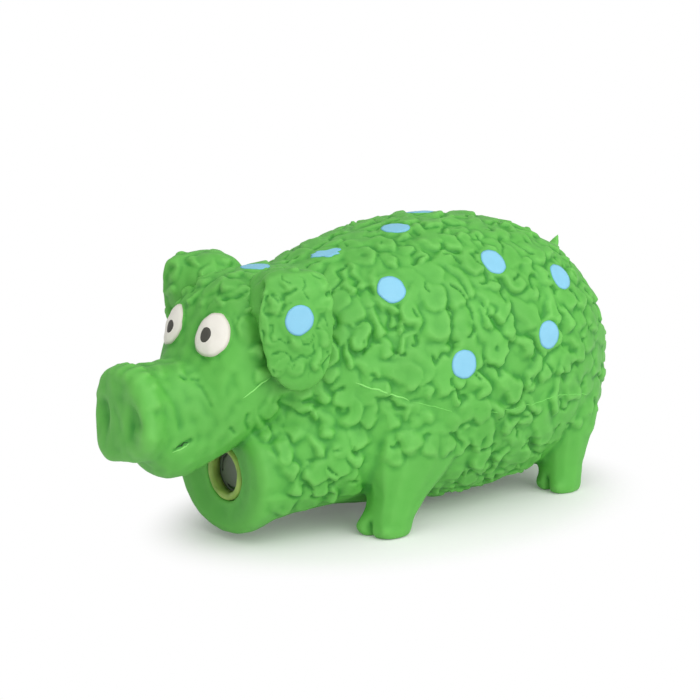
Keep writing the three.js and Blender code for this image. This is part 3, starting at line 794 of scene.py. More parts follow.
@dataclass
class Eye:
    """Where one eye sits and how its painted egg lies on the brow, in millimetres."""

    side: int
    centre: Vector
    yaw: float
    half_width: float = 7.2
    half_height: float = 8.0
    pupil_across: float = -1.2
    pupil_up: float = -1.0
    pupil_half: Range = (2.5, 2.85)
    pitch: float = -0.36
    lean: float = 0.24
    bulge: float = 1.7
    reach: float = 14.0
    depth: float = 9.0
    rim: float = 0.5

    def axes(self) -> tuple[Array, Array, Array]:
        """The way across the eye, up it and out of it."""
        turn = Euler((self.pitch, 0.0, self.yaw), "ZXY").to_matrix()
        turn = turn @ Matrix.Rotation(self.lean, 3, "Y")
        ways = ((1.0, 0.0, 0.0), (0.0, 0.0, 1.0), (0.0, -1.0, 0.0))
        return tuple(np.array(turn @ Vector(way)) for way in ways)


@dataclass
class Skin:
    """The moulded skin of body, head and legs as one continuous shell.

    Attributes:
        bare_spots: The middle and radius of each flat place that the paint asks for.
        voxel: The size of the grid that fuses the forms, in millimetres.
        limit: The number of triangles that it stays under.
        forms: The solids of the frame that it stands for.
        plug_radius: The radius of the plug that closes the squeaker's tunnel behind its cap.
        plug_ends: Where the plug starts and ends.
        head: Where the woolly coat ends at the face instead of the chest.
        face_edge: Where the coat ends at the face, and the height of the brow's foot.
        face_fade: The length over which it ends there.
        chest_fade: Where it ends at the chest.
        rear: Where the rear half starts.
        belly_bare: How far down a place of the front half looks before it is bare.
        floor_bare: The heights between which the front half's coat starts.
        rear_floor_bare: The same for the rear half.
        legs: Each pair of legs, and the heights between which its coat starts.
        locks: The zones of the kinds of lock, of which the first that holds a point counts.
        coat_least: The share of the coat from which locks are laid.
        lean: How far the locks lie back at the head and how much more at the rear.
        lean_start: Where they start and end to lie further back.
        sinking: How much of the coat's mean height is taken off again, as a share.
        fold_depth: How deep its folds are.
        head_folds: The share of that depth on the head.
        neck: Where the folds deepen behind the head.
        pad_rim: How far past a spot its flat place starts and ends.
        eye_rim: How far out from an eye the coat starts and ends, in its own radii.
        snout: Where the snout starts and ends.
        nose_disc: The same for the disc on its tip.
        nostril: The place of the left nostril, and nostril_half half its size each way.
        nostril_inner: Half its width towards the nose's middle.
    """

    bare_spots: list[tuple[Array, float]]
    voxel: float = 0.8
    limit: int = 190_000
    forms: tuple[str, ...] = (
        *(f"{part}_skin" for part in ("belly", "flank", "back", "head")),
        *(f"{end}_{side}_leg" for end in ("front", "rear") for side in ("left", "right")),
    )
    plug_radius: float = 12.0
    plug_ends: Range = (-61.0, -24.0)
    head: Zone = Zone((-FAR, 27.0), (-FAR, -50.0), (40.0, FAR))
    face_edge: Range = (-62.0, 64.0)
    face_fade: float = 8.0
    chest_fade: Range = (-62.0, -56.0)
    rear: Range = (-6.0, 4.0)
    belly_bare: Range = (-0.86, -0.6)
    floor_bare: Range = (9.0, 15.0)
    rear_floor_bare: Range = (4.0, 7.0)
    legs: tuple[tuple[Zone, Range], ...] = (
        (Zone((25.5, FAR), (-30.0, 12.0)), (27.0, 35.0)),
        (Zone((20.0, FAR), (60.0, 92.0)), (24.0, 31.0)),
    )
    locks: tuple[tuple[Lock, Zone], ...] = (
        (Lock.HEAD, Zone((-FAR, 26.0), (-FAR, -58.0), (48.0, FAR))),
        (Lock.LEG, Zone((27.0, FAR), (-30.0, 12.0), (-FAR, 50.0))),
        (Lock.LEG, Zone((24.0, FAR), (58.0, 94.0), (-FAR, 40.0))),
        (Lock.HEM, Zone(y=(-5.0, FAR), z=(-FAR, 19.0))),
        (Lock.TOP, Zone()),
        (Lock.CHEST, Zone(y=(-FAR, -14.0))),
        (Lock.RUMP, Zone(y=(68.0, FAR))),
    )
    coat_least: float = 0.55
    lean: Range = (0.1, 0.55)
    lean_start: Range = (-30.0, 20.0)
    sinking: float = 0.85
    fold_depth: float = 1.3
    head_folds: float = 0.25
    neck: Range = (-58.0, -46.0)
    pad_rim: Range = (2.0, 0.2)
    eye_rim: Range = (1.08, 1.3)
    snout: Range = (-70.0, -80.0)
    nose_disc: Range = (-97.0, -103.0)
    pad_height: float = 0.3
    nostril: Point = (8.2, -110.6, 49.6)
    nostril_half: Point = (8.5, 9.0, 9.5)
    nostril_inner: float = 4.6
    nostril_depth: float = 1.2
    eyes: tuple[Eye, Eye] = (
        Eye(1, Vector((12.2, -79.6, 79.4)), 0.2),
        Eye(-1, Vector((-12.2, -79.6, 79.4)), -0.2, 7.2, 7.7, 1.9, -0.6, (2.3, 2.45)),
    )
    pinches: tuple[Pinch, ...] = (
        Pinch((15.5, -109.5, 46.5), 12.0, (3.0, -0.9, 0.8)),
        Pinch((-10.5, -109.0, 41.5), 14.0, (-0.8, -0.5, -3.9)),
        *(Pinch((side * 33.5, -25.5, 15.5), 11.0, (side * 0.6, 1.5, 0.0)) for side in SIDES),
        *(Pinch((side * 30.8, -25.0, 3.0), 8.0, (side * -1.8, -2.0, 0.0)) for side in SIDES),
    )
    strokes: tuple[Stroke, ...] = (
        Stroke(MOUTH, 0.9, 0.9),
        Stroke(((0.0, -109.0, 67.5), (0.5, -104.5, 69.3)), 1.6, -0.9),
        Stroke(((4.6, -109.0, 67.0), (4.4, -104.0, 69.0)), 1.5, -1.0),
        Stroke(((9.0, -108.5, 65.5), (8.6, -104.5, 67.6)), 1.4, -1.0),
        Stroke(((12.4, -107.5, 62.5), (12.8, -104.5, 64.2)), 1.3, -0.8),
        Stroke(((14.9, -108.6, 57.5), (15.4, -105.0, 58.5)), 1.3, -0.6),
        Stroke(((3.0, -96.0, 68.5), (8.5, -97.5, 67.5)), 1.8, -0.8),
        Stroke(((5.0, -89.0, 68.0), (9.5, -91.0, 66.5)), 1.4, -0.6),
        Stroke(((8.8, -109.8, 56.0), (7.4, -109.6, 52.0), (8.4, -109.8, 46.5)), 1.7, 0.22),
        Stroke(((10.2, -91.4, 66.0), (11.5, -90.6, 65.1)), 0.8, 0.7),
        Stroke(((12.5, -88.1, 64.9), (13.5, -86.6, 64.4)), 0.8, 0.7),
        Stroke(
            ((13.9, -87.4, 63.3), (15.4, -86.3, 62.0), (17.2, -85.2, 58.6), (18.1, -84.4, 56.0)),
            0.8,
            0.4,
        ),
        Stroke(((13.5, -99.0, 62.0), (15.0, -96.8, 56.8), (15.9, -95.3, 50.3)), 1.8, 0.4),
        Stroke(((21.0, -76.0, 66.0), (22.0, -75.5, 56.5)), 1.6, 0.5),
        Stroke(((20.6, -77.7, 47.0), (20.3, -75.9, 45.0)), 0.8, 0.7),
        Stroke(((22.8, -71.6, 50.9), (22.2, -71.9, 48.2), (20.6, -69.4, 44.8)), 1.0, 0.9),
        Stroke(((10.2, -72.5, 91.2), (13.6, -69.5, 92.0), (14.6, -66.0, 93.6)), 1.2, 1.0),
    )

    def plug(self) -> Shape:
        """A disc that closes the squeaker's tunnel behind the cap."""
        shape = bmesh.new()
        front, rear = self.plug_ends
        place = Matrix.Translation(Vector((0.0, 0.5 * (rear + front), SQUEAKER_HEIGHT)) * MM)
        bmesh.ops.create_cone(
            shape,
            cap_ends=True,
            segments=48,
            radius1=self.plug_radius * MM,
            radius2=self.plug_radius * MM,
            depth=(rear - front) * MM,
            matrix=place @ Matrix.Rotation(math.pi / 2.0, 4, "X"),
        )
        return shape

    def coat_share(self, points: Array, normals: Array) -> Array:
        """How much of the woolly coat each point carries, from 0 to 1.

        Args:
            points: One row a point.
            normals: Their normals.

        Returns:
            The share at each point.
        """
        _, y, z = points.T
        # The face's line lies further forward, the higher it runs over the brow
        edge, brow = self.face_edge
        past_edge = y - edge + 0.5 * np.maximum(z - brow, 0.0)
        behind_face = smooth_step(-self.face_fade, 0.0, past_edge)
        behind_chest = smooth_step(*self.chest_fade, y)
        share = np.where(self.head.holds(points), behind_face, behind_chest)
        # The front half is bare underneath, the rear half only near the floor
        rear_half = smooth_step(*self.rear, y)
        share *= np.maximum(smooth_step(*self.belly_bare, normals[:, 2]), rear_half)
        off_floor = rear_half * smooth_step(*self.rear_floor_bare, z)
        share *= np.maximum(smooth_step(*self.floor_bare, z), off_floor)
        for leg, (bare, woolly) in self.legs:
            share *= np.where(leg.holds(points), smooth_step(bare, woolly, z), 1.0)
        return share

    def locks_at(self, points: Array, normals: Array) -> Array:
        """The number of the lock's kind at each point of the skin, or -1 where it is bare."""
        held = [
            normals[:, 2] > 0.75 if lock is Lock.TOP else zone.holds(points)
            for lock, zone in self.locks
        ]
        chosen = np.select(held, [lock.number for lock, _ in self.locks], Lock.FLANK.number)
        return np.where(self.coat_share(points, normals) < self.coat_least, -1, chosen)

    def grain_at(self, points: Array, normals: Array) -> Array:
        """The way the locks lie: down the chest, down and back along the flank."""
        least, more = self.lean
        back = least + more * smooth_step(*self.lean_start, points[:, 1])
        return np.column_stack([0.25 * np.sign(points[:, 0]), back, -np.ones(len(points))])

    def coat_rise(self, clay: Clay, normals: Array, share: Array) -> Array:
        """How far the coat lifts or sinks each point, flat at the spots and bare at the eyes.

        Args:
            clay: The smooth skin.
            normals: The normals of its points.
            share: How much of the coat each point carries.

        Returns:
            The height of each point's move, in millimetres.
        """
        points = clay.points
        height = Coat(self.locks_at, self.grain_at).heights(points, normals)
        off_head = smooth_step(*self.neck, points[:, 1])
        off_head = self.head_folds + (1.0 - self.head_folds) * off_head
        folds = self.fold_depth * share * off_head * folds_at(points)
        raised = height - self.sinking * clay.blur(height, LEVEL_ROUNDS) - folds
        for centre, radius in self.bare_spots:
            away = np.linalg.norm(points - centre, axis=1)
            pad = smooth_step(*(radius + rim for rim in self.pad_rim), away)
            raised = raised * (1.0 - pad) + self.pad_height * pad
        for eye in self.eyes:
            across, up, _ = eye.axes()
            away = points - np.array(eye.centre)
            out = np.hypot(away @ across / eye.half_width, away @ up / eye.half_height)
            near = np.linalg.norm(away, axis=1) < eye.reach
            raised = np.where(near, raised * smooth_step(*self.eye_rim, out), raised)
        return raised

    def unevenness(self, points: Array) -> Array:
        """The slight unevenness that the modelling left, stronger on the snout."""
        uneven = 0.22 * noise_at(points, 7.0, 3.0)[:, 0] + 0.1 * noise_at(points, 3.2, 5.0)[:, 0]
        snout = smooth_step(*self.snout, points[:, 1])
        return uneven + snout * 0.45 * noise_at(points * [1.0, 1.3, 0.8], 4.4, 8.0)[:, 0]

    def carve_face(self, clay: Clay) -> None:
        """Pulls the pinches, presses the nostrils and raises the eyes' domes.

        Args:
            clay: The skin, which is changed.
        """
        for pinch in self.pinches:
            clay.points += pinch.pull(clay.points)
        for side in SIDES:
            away = clay.points * [side, 1.0, 1.0] - self.nostril
            away[:, 0] *= np.where(away[:, 0] > 0.0, 1.0, self.nostril_half[0] / self.nostril_inner)
            out = np.linalg.norm(away / self.nostril_half, axis=1)
            clay.points[:, 1] += self.nostril_depth * smooth_step(1.0, 0.0, out)
        for eye in self.eyes:
            across, up, outward = eye.axes()
            away = clay.points - np.array(eye.centre)
            a, b, c = away @ across, away @ up, away @ outward
            a, b = a / (eye.half_width + eye.rim), b / (eye.half_height + eye.rim)
            dome = np.sqrt(np.clip(1.0 - a**2 - b**2, 0.0, 1.0))
            lift = np.where(np.abs(c) < eye.depth, eye.bulge * dome, 0.0)
            clay.points += lift[:, None] * outward

    def build(self, finishes: Finishes) -> tuple[Piece, BVHTree]:
        """Builds and dresses the skin.

        Args:
            finishes: The toy's finishes.

        Returns:
            The piece and the search tree of its surface.
        """
        sources = [copy_of_node(name) for name in self.forms]
        piece = remeshed("latex_skin", [*sources, self.plug()], self.voxel)
        clay = Clay(piece)
        LOG.info("latex_skin starts from %d points", len(clay.points))
        clay.relax(30)
        clay.soften(2)
        normals = clay.normals()
        share = clay.blur(self.coat_share(clay.points, normals), 4)
        raised = self.coat_rise(clay, normals, share) + self.unevenness(clay.points)
        clay.soften(14, smooth_step(*self.nose_disc, clay.points[:, 1]))
        clay.points += normals * raised[:, None]
        clay.soften(1, 0.5 + 0.5 * (1.0 - share))
        self.carve_face(clay)
        normals = clay.normals()
        for stroke in self.strokes:
            clay.points += stroke.press(clay.points, normals)
        clay.points[:, 2] = np.maximum(clay.points[:, 2], 0.0)
        clay.finish(0.45)
        surface = clay.tree()
        thin_out(piece, self.limit)
        dress(piece, finishes.latex)
        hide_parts(*self.forms, "body_fill", "head_fill")
        return piece, surface


def follow_skin(piece: Piece) -> None:
    """Bakes the place of a piece that lies on the skin into its mesh."""
    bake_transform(piece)


@dataclass
class Ear:
    """One floppy ear, lumpy on its outer face and smooth along its border.

    Attributes:
        crest: The middle and half size of the lump that its root starts from.
        fill: The same for the lump that fills the fold in front of it.
        hang: The height under which it hangs longer, and by what share.
        taper: How far its front border is drawn back at its top.
        top: The heights between which that starts.
        border: Where the front border starts and ends.
        bend: How far from the toy's middle it starts and ends to bend when lifted; not used.
        face: Where its outer face carries locks.
        root: Where it carries the head's locks.
        outside: How far outwards the worked face looks, at its start and its end.
        worked: The heights between which its nicks start.
        nicks: The depths of its coarse and fine nicks.
        pad: The radii between which the flat place of its spot starts.
    """

    side: int
    voxel: float = 0.6
    crest: tuple[Point, Point] = ((19.0, -57.0, 92.5), (12.0, 12.5, 10.0))
    fill: tuple[Point, Point] = ((24.0, -63.5, 89.5), (9.0, 9.2, 11.0))
    hang: Range = (85.0, 0.08)
    taper: float = 5.5
    top: Range = (84.0, 102.0)
    border: Range = (-56.0, -72.0)
    bend: Range = (18.0, 27.0)
    face: Zone = Zone(y=(-69.5, -45.5), z=(68.5, FAR))
    root: Zone = Zone(x=(-FAR, 27.0), z=(78.0, FAR))
    sinking: float = 0.8
    outside: Range = (0.2, 0.6)
    worked: Range = (62.0, 70.0)
    nicks: Range = (0.9, 0.45)
    pad: Range = (7.8, 5.8)
    pad_height: float = 0.2

    @property
    def node(self) -> str:
        """The name of its solid and its body."""
        return f"{SIDES[self.side]}_ear"

    def locks_at(self, points: Array, normals: Array) -> Array:
        """Small locks on the outer face, none near the border."""
        outer = (normals[:, 0] * self.side > 0.35) | (normals[:, 2] > 0.4)
        held = [self.root.holds(points), outer & self.face.holds(points)]
        return np.select(held, [Lock.HEAD.number, Lock.EAR.number], -1)

    @staticmethod
    def grain_at(points: Array, normals: Array) -> Array:
        """The locks hang down the ear."""
        return np.tile([0.0, 0.2, -1.0], (len(points), 1))

    def lump(self, place: Point, half: Point) -> Shape:
        """A lump of clay at the ear's root, on the ear's own side.

        Args:
            place: Its middle on the left side.
            half: Half its size each way.

        Returns:
            The lump.
        """
        shape = bmesh.new()
        x, y, z = place
        middle = Matrix.Translation(Vector((self.side * x, y, z)) * MM)
        size = Matrix.Diagonal((*(length * MM for length in half), 1.0))
        matrix = middle @ size
        bmesh.ops.create_uvsphere(shape, u_segments=40, v_segments=24, radius=1.0, matrix=matrix)
        return shape

    def build(self, finishes: Finishes, spot: Array) -> Clay:
        """Builds and dresses the ear.

        Args:
            finishes: The toy's finishes.
            spot: The middle of the painted spot on it.

        Returns:
            Its sculpted points.
        """
        sources = [copy_of_node(self.node), self.lump(*self.crest), self.lump(*self.fill)]
        piece = remeshed(f"{self.node}_flap", sources, self.voxel)
        clay = Clay(piece)
        below, longer = self.hang
        clay.points[:, 2] -= longer * np.maximum(below - clay.points[:, 2], 0.0)
        high = smooth_step(*self.top, clay.points[:, 2])
        clay.points[:, 1] += self.taper * high * smooth_step(*self.border, clay.points[:, 1])
        clay.relax(20)
        clay.soften(12)
        normals = clay.normals()
        coat = Coat(self.locks_at, self.grain_at, SEED + 3 + self.side, 0.9, 1.0)
        height = coat.heights(clay.points, normals)
        outer = smooth_step(*self.outside, normals[:, 0] * self.side)
        worked = outer * smooth_step(*self.worked, clay.points[:, 2])
        coarse, fine = self.nicks
        nicks = coarse * folds_at(clay.points) + fine * folds_at(clay.points * 1.8 + 50.0)
        raised = height - self.sinking * clay.blur(height, LEVEL_ROUNDS) - worked * nicks
        pad = smooth_step(*self.pad, np.linalg.norm(clay.points - spot, axis=1))
        raised = raised * (1.0 - pad) + self.pad_height * pad
        raised += 0.12 * noise_at(clay.points, 4.0, 2.0)[:, 0]
        clay.points += normals * raised[:, None]
        clay.soften(1, 1.0 - 0.6 * outer)
        clay.finish(0.3)
        dress(piece, finishes.latex)
        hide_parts(self.node)
        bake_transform(piece)
        return clay


@dataclass
class Tail:
    """The small pointed nub of a tail, grown each way from its root."""

    voxel: float = 0.35
    root: Point = (0.0, 96.4, 86.0)
    growth: Point = (1.8, 1.5, 1.15)

    def build(self, finishes: Finishes) -> None:
        """Builds and dresses the tail.

        Args:
            finishes: The toy's finishes.
        """
        piece = remeshed("tail_nub", [copy_of_node("tail")], self.voxel)
        clay = Clay(piece)
        clay.points = self.root + np.array(self.growth) * (clay.points - self.root)
        clay.relax(8)
        clay.soften(5)
        clay.points += clay.normals() * 0.25 * noise_at(clay.points, 2.5, 4.0)[:, :1]
        clay.soften(1)
        clay.finish(0.2)
        dress(piece, finishes.latex)
        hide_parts("tail")
        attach(piece, "tail")


@dataclass
class Patch:
    """A patch of paint that lies on a sculpted surface.

    Attributes:
        node: The solid that it stands for.
        slot: The record's finish; not used.
        centre: Its middle, near the surface, in millimetres.
        axes: The ways across it, up it and out of the surface.
        half: Half its width and half its height.
        egg: How much narrower it grows towards its top.
        wobble: How uneven its outline is, as a share.
        lift: How far it stands off the surface.
    """

    name: str
    node: str
    slot: str
    centre: Array
    axes: tuple[Array, Array, Array]
    half: Range
    egg: float = 0.0
    wobble: float = 0.02
    lift: float = 0.24
    rings: int = 7
    sides: int = 44

    def disc(self) -> Shape:
        """A flat disc of even rings with a radius of 1."""
        shape = bmesh.new()
        bmesh.ops.create_circle(shape, cap_ends=True, segments=self.sides, radius=1.0)
        face = list(shape.faces)
        for _ in range(self.rings - 1):
            ring = {"thickness": 1.0 / self.rings, "use_boundary": True, "use_even_offset": True}
            bmesh.ops.inset_region(shape, faces=face, **ring)
        bmesh.ops.poke(shape, faces=face)
        return shape

    def build(self, surface: BVHTree, material: Material) -> Piece:
        """Lays the patch on a surface.

        Args:
            surface: The search tree of the surface, in millimetres.
            material: Its finish.

        Returns:
            The piece.
        """
        shape = self.disc()
        across, up, outward = self.axes
        half_width, half_height = self.half
        out_of = Vector(outward)
        rim = shape.verts.layers.float.new("rim")
        for vertex in shape.verts:
            a, b = vertex.co.x, vertex.co.y
            out = math.hypot(a, b)
            vertex[rim] = 0.75 * float(smooth_step(0.86, 1.0, np.array(out)))
            angle = math.atan2(b, a)
            uneven = 1.0 + self.wobble * noise.noise(
                Vector((2.0 * math.cos(angle), 2.0 * math.sin(angle), self.centre[1]))
            )
            flat = (
                self.centre
                + across * (a * uneven * half_width * (1.0 - self.egg * b))
                + up * (b * uneven * half_height)
            )
            start = Vector(flat + outward * PROBE_START)
            hit, normal, _, _ = surface.ray_cast(start, -out_of, PROBE_REACH)
            if hit is None:
                hit, normal, _, _ = surface.find_nearest(Vector(flat))
            drop = 0.5 * self.lift if out > 0.97 else 0.0
            away = normal if normal.dot(out_of) > 0.0 else -normal
            vertex.co = (hit + away * (self.lift - drop)) * MM
        bmesh.ops.recalc_face_normals(shape, faces=shape.faces)
        if sum(face.normal.dot(out_of) for face in shape.faces) < 0.0:
            bmesh.ops.reverse_faces(shape, faces=shape.faces)
        bmesh.ops.solidify(shape, geom=shape.faces, thickness=2.0 * self.lift * MM)
        piece = new_object(self.name, shape)
        dress(piece, material)
        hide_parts(self.node)
        return piece


def node_plane(node: str) -> tuple[Array, Array]:
    """The middle and the flat direction of a thin disc of the frame, in millimetres.

    Args:
        node: The disc's name.

    Returns:
        Its middle and its unit normal, away from the middle of the toy.
    """
    points = read(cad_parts[node].data.vertices, "co", 3, float) / MM
    points = np.unique(np.round(points, 3), axis=0)
    middle = points.mean(axis=0)
    _, _, axes = np.linalg.svd(points - middle)
    normal = axes[2]
    outward = middle - np.array([0.0, np.clip(middle[1], -50.0, 80.0), 55.0])
    return middle, normal if np.dot(normal, outward) > 0.0 else -normal


@dataclass
class SpotPaint:
    """The round blue spots, each on the surface that carries it.

    Attributes:
        smeared: The spot that isn't round.
        smear: Its turn, flatness and uneven outline.
        right: The places of the spots on the right side; the left shoulder's has no side's name.
    """

    radius: float = 5.4
    smeared: str = "shoulder_spot"
    smear: Point = (0.9, 0.6, 0.35)
    right: tuple[str, ...] = ("shoulder", "flank", "belly", "haunch", "back", "rump")

    @property
    def skin_nodes(self) -> list[str]:
        """The solids of the spots on the skin."""
        left = [f"left_{place}" for place in self.right[1:]]
        right = [f"right_{place}" for place in self.right]
        places = ["shoulder", *left, "top_front", "top_rear", *right, "crown"]
        return [f"{place}_spot" for place in places]

    def patch(self, node: str) -> Patch:
        """One spot on the place of its node.

        Args:
            node: The solid that it stands for.

        Returns:
            The patch, not laid yet.
        """
        middle, normal = node_plane(node)
        guide = np.array([0.0, 0.0, 1.0] if abs(normal[2]) < 0.8 else [0.0, 1.0, 0.0])
        across = np.cross(guide, normal)
        across /= np.linalg.norm(across)
        up = np.cross(normal, across)
        turn, flat, wobble = self.smear if node == self.smeared else (0.0, 1.0, 0.05)
        axes = (
            math.cos(turn) * across + math.sin(turn) * up,
            math.cos(turn) * up - math.sin(turn) * across,
            normal,
        )
        half = (self.radius, flat * self.radius)
        return Patch(f"paint_{node}", node, "blue_paint", middle, axes, half, wobble=wobble)


def eye_patches(eye: Eye) -> tuple[Patch, Patch]:
    """The white and the pupil of one eye.

    Args:
        eye: The eye.

    Returns:
        Both patches, not laid yet.
    """
    across, up, _ = axes = eye.axes()
    word = SIDES[eye.side]
    centre = np.array(eye.centre)
    half = (eye.half_width, eye.half_height)
    place = centre + across * eye.pupil_across + up * eye.pupil_up
    white = f"{word}_eye_paint", f"{word}_eye_white", "white_paint"
    pupil = f"{word}_pupil_paint", f"{word}_pupil", "black_paint"
    return (
        Patch(*white, centre, axes, half, egg=0.1, wobble=0.05),
        Patch(*pupil, place, axes, eye.pupil_half, lift=0.42, rings=4, sides=28),
    )


@dataclass
class Thread:
    """A thin line that lies on the skin: a parting line's flash of latex, lighter than the skin as
    a painted highlight, or the mouth's slit, a dark line of painted shade.

    Attributes:
        path: The points that it runs through, near the skin, in millimetres.
        radius: Half its thickness.
        sink: How far its middle lies under the skin.
        wander: How far it strays from its path.
        step: The length of its pieces.
        sides: The sides of its section.
    """

    name: str
    path: Path
    radius: float
    sink: float
    wander: float
    step: float = 0.8
    sides: int = 8

    def line(self, surface: BVHTree) -> tuple[list[Vector], list[Vector]]:
        """The points of its middle on a surface and the surface's normals there."""
        places, normals = [], []
        for start, end in pairwise([Vector(corner) for corner in self.path]):
            count = max(1, round((end - start).length / self.step))
            for i in range(count):
                flat = start.lerp(end, i / count)
                flat += self.wander * Vector(noise_at(np.array([flat]), 3.0)[0])
                hit, normal, _, _ = surface.find_nearest(flat)
                places.append(hit - normal * self.sink)
                normals.append(normal)
        return places, normals

    def build(self, surface: BVHTree, material: Material) -> Piece:
        """Lays the line on a surface.

        Args:
            surface: The search tree of the surface, in millimetres.
            material: Its finish.

        Returns:
            The piece.
        """
        places, normals = self.line(surface)
        shape = bmesh.new()
        loops = []
        last = len(places) - 1
        for i, (place, normal) in enumerate(zip(places, normals)):
            way = (places[min(i + 1, last)] - places[max(i - 1, 0)]).normalized()
            across = way.cross(normal).normalized()
            up = across.cross(way)
            uneven = 0.75 + 0.5 * abs(noise.noise(place / 2.0))
            radius = self.radius * uneven * min(1.0, 0.25 + 0.25 * min(i, last - i))
            loop = []
            for k in range(self.sides):
                angle = 2.0 * math.pi * k / self.sides
                spoke = across * math.cos(angle) + up * math.sin(angle)
                loop.append(shape.verts.new((place + spoke * radius) * MM))
            loops.append(loop)
        for first, second in pairwise(loops):
            for k in range(self.sides):
                n = (k + 1) % self.sides
                shape.faces.new((first[k], first[n], second[n], second[k]))
        shape.faces.new(loops[0])
        shape.faces.new(list(reversed(loops[-1])))
        bmesh.ops.recalc_face_normals(shape, faces=shape.faces)
        piece = new_object(self.name, shape)
        dress(piece, material)
        return piece


@dataclass(frozen=True)
class MouldMarks:
    """The flash that the mould's parting line left, and the slit of the mouth with its lip. The
    flash and the lip are lighter than the latex as a painted highlight; the slit is a dark line of
    painted shade.
    """

    cheek: Path = (
        *((23.2, -74.0, 57.6), (23.8, -70.3, 59.9)),
        *((24.3, -66.8, 62.3), (24.6, -62.6, 64.0)),
    )
    shoulder: Path = ((35.6, -34.0, 59.6), (39.4, -25.6, 56.1), (42.8, -15.2, 51.9))
    side: Path = ((43.2, -13.6, 51.0), (45.5, -2.1, 47.4), (46.6, 4.2, 45.1))
    flank: Path = (
        *((48.2, 20.3, 42.6), (48.5, 30.2, 42.6), (48.6, 40.6, 42.6)),
        *((47.9, 57.2, 43.8), (46.3, 67.0, 42.5), (42.3, 79.5, 39.9)),
    )
    lip: Path = ((14.6, -98.4, 40.4), (15.5, -95.3, 41.4), (16.0, -93.4, 42.3), (16.4, -91.7, 43.5))

    def build(self, surface: BVHTree, finishes: Finishes) -> None:
        """Lays every line on both sides of the toy.

        Args:
            surface: The search tree of the skin, in millimetres.
            finishes: The toy's finishes.
        """
        # Each line's path, radius, sink, wander and finish; the flash and seam finishes are painted
        # highlight, the slit's finish is painted shade
        lines = {
            "cheek_flash": (self.cheek, 0.34, 0.05, 0.25, finishes.flash),
            "shoulder_flash": (self.shoulder + self.side[:1], 0.36, 0.05, 0.4, finishes.flash),
            "side_flash": (self.side, 0.22, 0.06, 0.3, finishes.seam),
            "flank_flash": (self.flank, 0.22, 0.08, 0.3, finishes.seam),
            "mouth_slit_shade": (MOUTH, 0.3, 0.05, 0.0, finishes.slit),
            "mouth_flash": (self.lip, 0.36, 0.05, 0.1, finishes.flash),
        }
        for (side, word), (name, line) in product(SIDES.items(), lines.items()):
            path, *sizes, material = line
            mirrored = tuple((side * x, y, z) for x, y, z in path)
            follow_skin(Thread(f"{word}_{name}", mirrored, *sizes).build(surface, material))


@dataclass
class SqueakerMouth:
    """The soft lip of the sound hole, on an axis along Y, and the pieces inside it.

    Attributes:
        sides: The steps that the lip is turned in.
        bead: The steps of its rounded rim.
    """

    outer: float = 10.4
    inner: float = 7.7
    front: float = -66.9
    rear: float = -63.0
    sides: int = 72
    bead: int = 8

    def turned(self, name: str, profile: Sequence[Range]) -> Piece:
        """Spins a closed outline of radius and place about the squeaker's axis.

        Args:
            name: The piece's name.
            profile: The outline's corners, in order round it.

        Returns:
            The piece.
        """
        shape = bmesh.new()
        corners = [
            shape.verts.new(Vector((radius, along, SQUEAKER_HEIGHT)) * MM)
            for radius, along in profile
        ]
        edges = [shape.edges.new(pair) for pair in pairwise([*corners, corners[0]])]
        bmesh.ops.spin(
            shape,
            geom=[*corners, *edges],
            cent=Vector((0.0, 0.0, SQUEAKER_HEIGHT)) * MM,
            axis=(0.0, 1.0, 0.0),
            angle=2.0 * math.pi,
            steps=self.sides,
            use_merge=True,
        )
        bmesh.ops.remove_doubles(shape, verts=shape.verts, dist=0.005 * MM)
        bmesh.ops.recalc_face_normals(shape, faces=shape.faces)
        return new_object(name, shape)

    def lip(self, finishes: Finishes) -> None:
        """The rounded ring round the hole.

        Args:
            finishes: The toy's finishes.
        """
        middle = 0.5 * (self.outer + self.inner)
        half = 0.5 * (self.outer - self.inner)
        profile = [(self.inner, self.rear)]
        for i in range(self.bead + 1):
            angle = math.pi * i / self.bead
            along = self.front + half - half * math.sin(angle)
            profile.append((middle - half * math.cos(angle), along))
        profile.append((self.outer, self.rear))
        piece = self.turned("sound_hole_lip", profile)
        clay = Clay(piece)
        clay.points += 0.12 * noise_at(clay.points, 3.0, 1.0)
        clay.store_relief(0.5 + 0.3 * noise_at(clay.points, 4.0, 6.0)[:, 0])
        dress(piece, finishes.lip)
        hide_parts("squeaker_collar")
        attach(piece, "root")

    def dress_nodes(self, finishes: Finishes) -> None:
        """Gives the pieces inside the squeaker their finishes."""
        plastic = ("squeaker_barrel", "squeaker_cap", "reed_block", "reed_clamp", "fibre_guard")
        for name in (*plastic, "reed"):
            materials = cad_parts[name].data.materials
            materials.clear()
            materials.append(finishes.plastic if name in plastic else finishes.film)


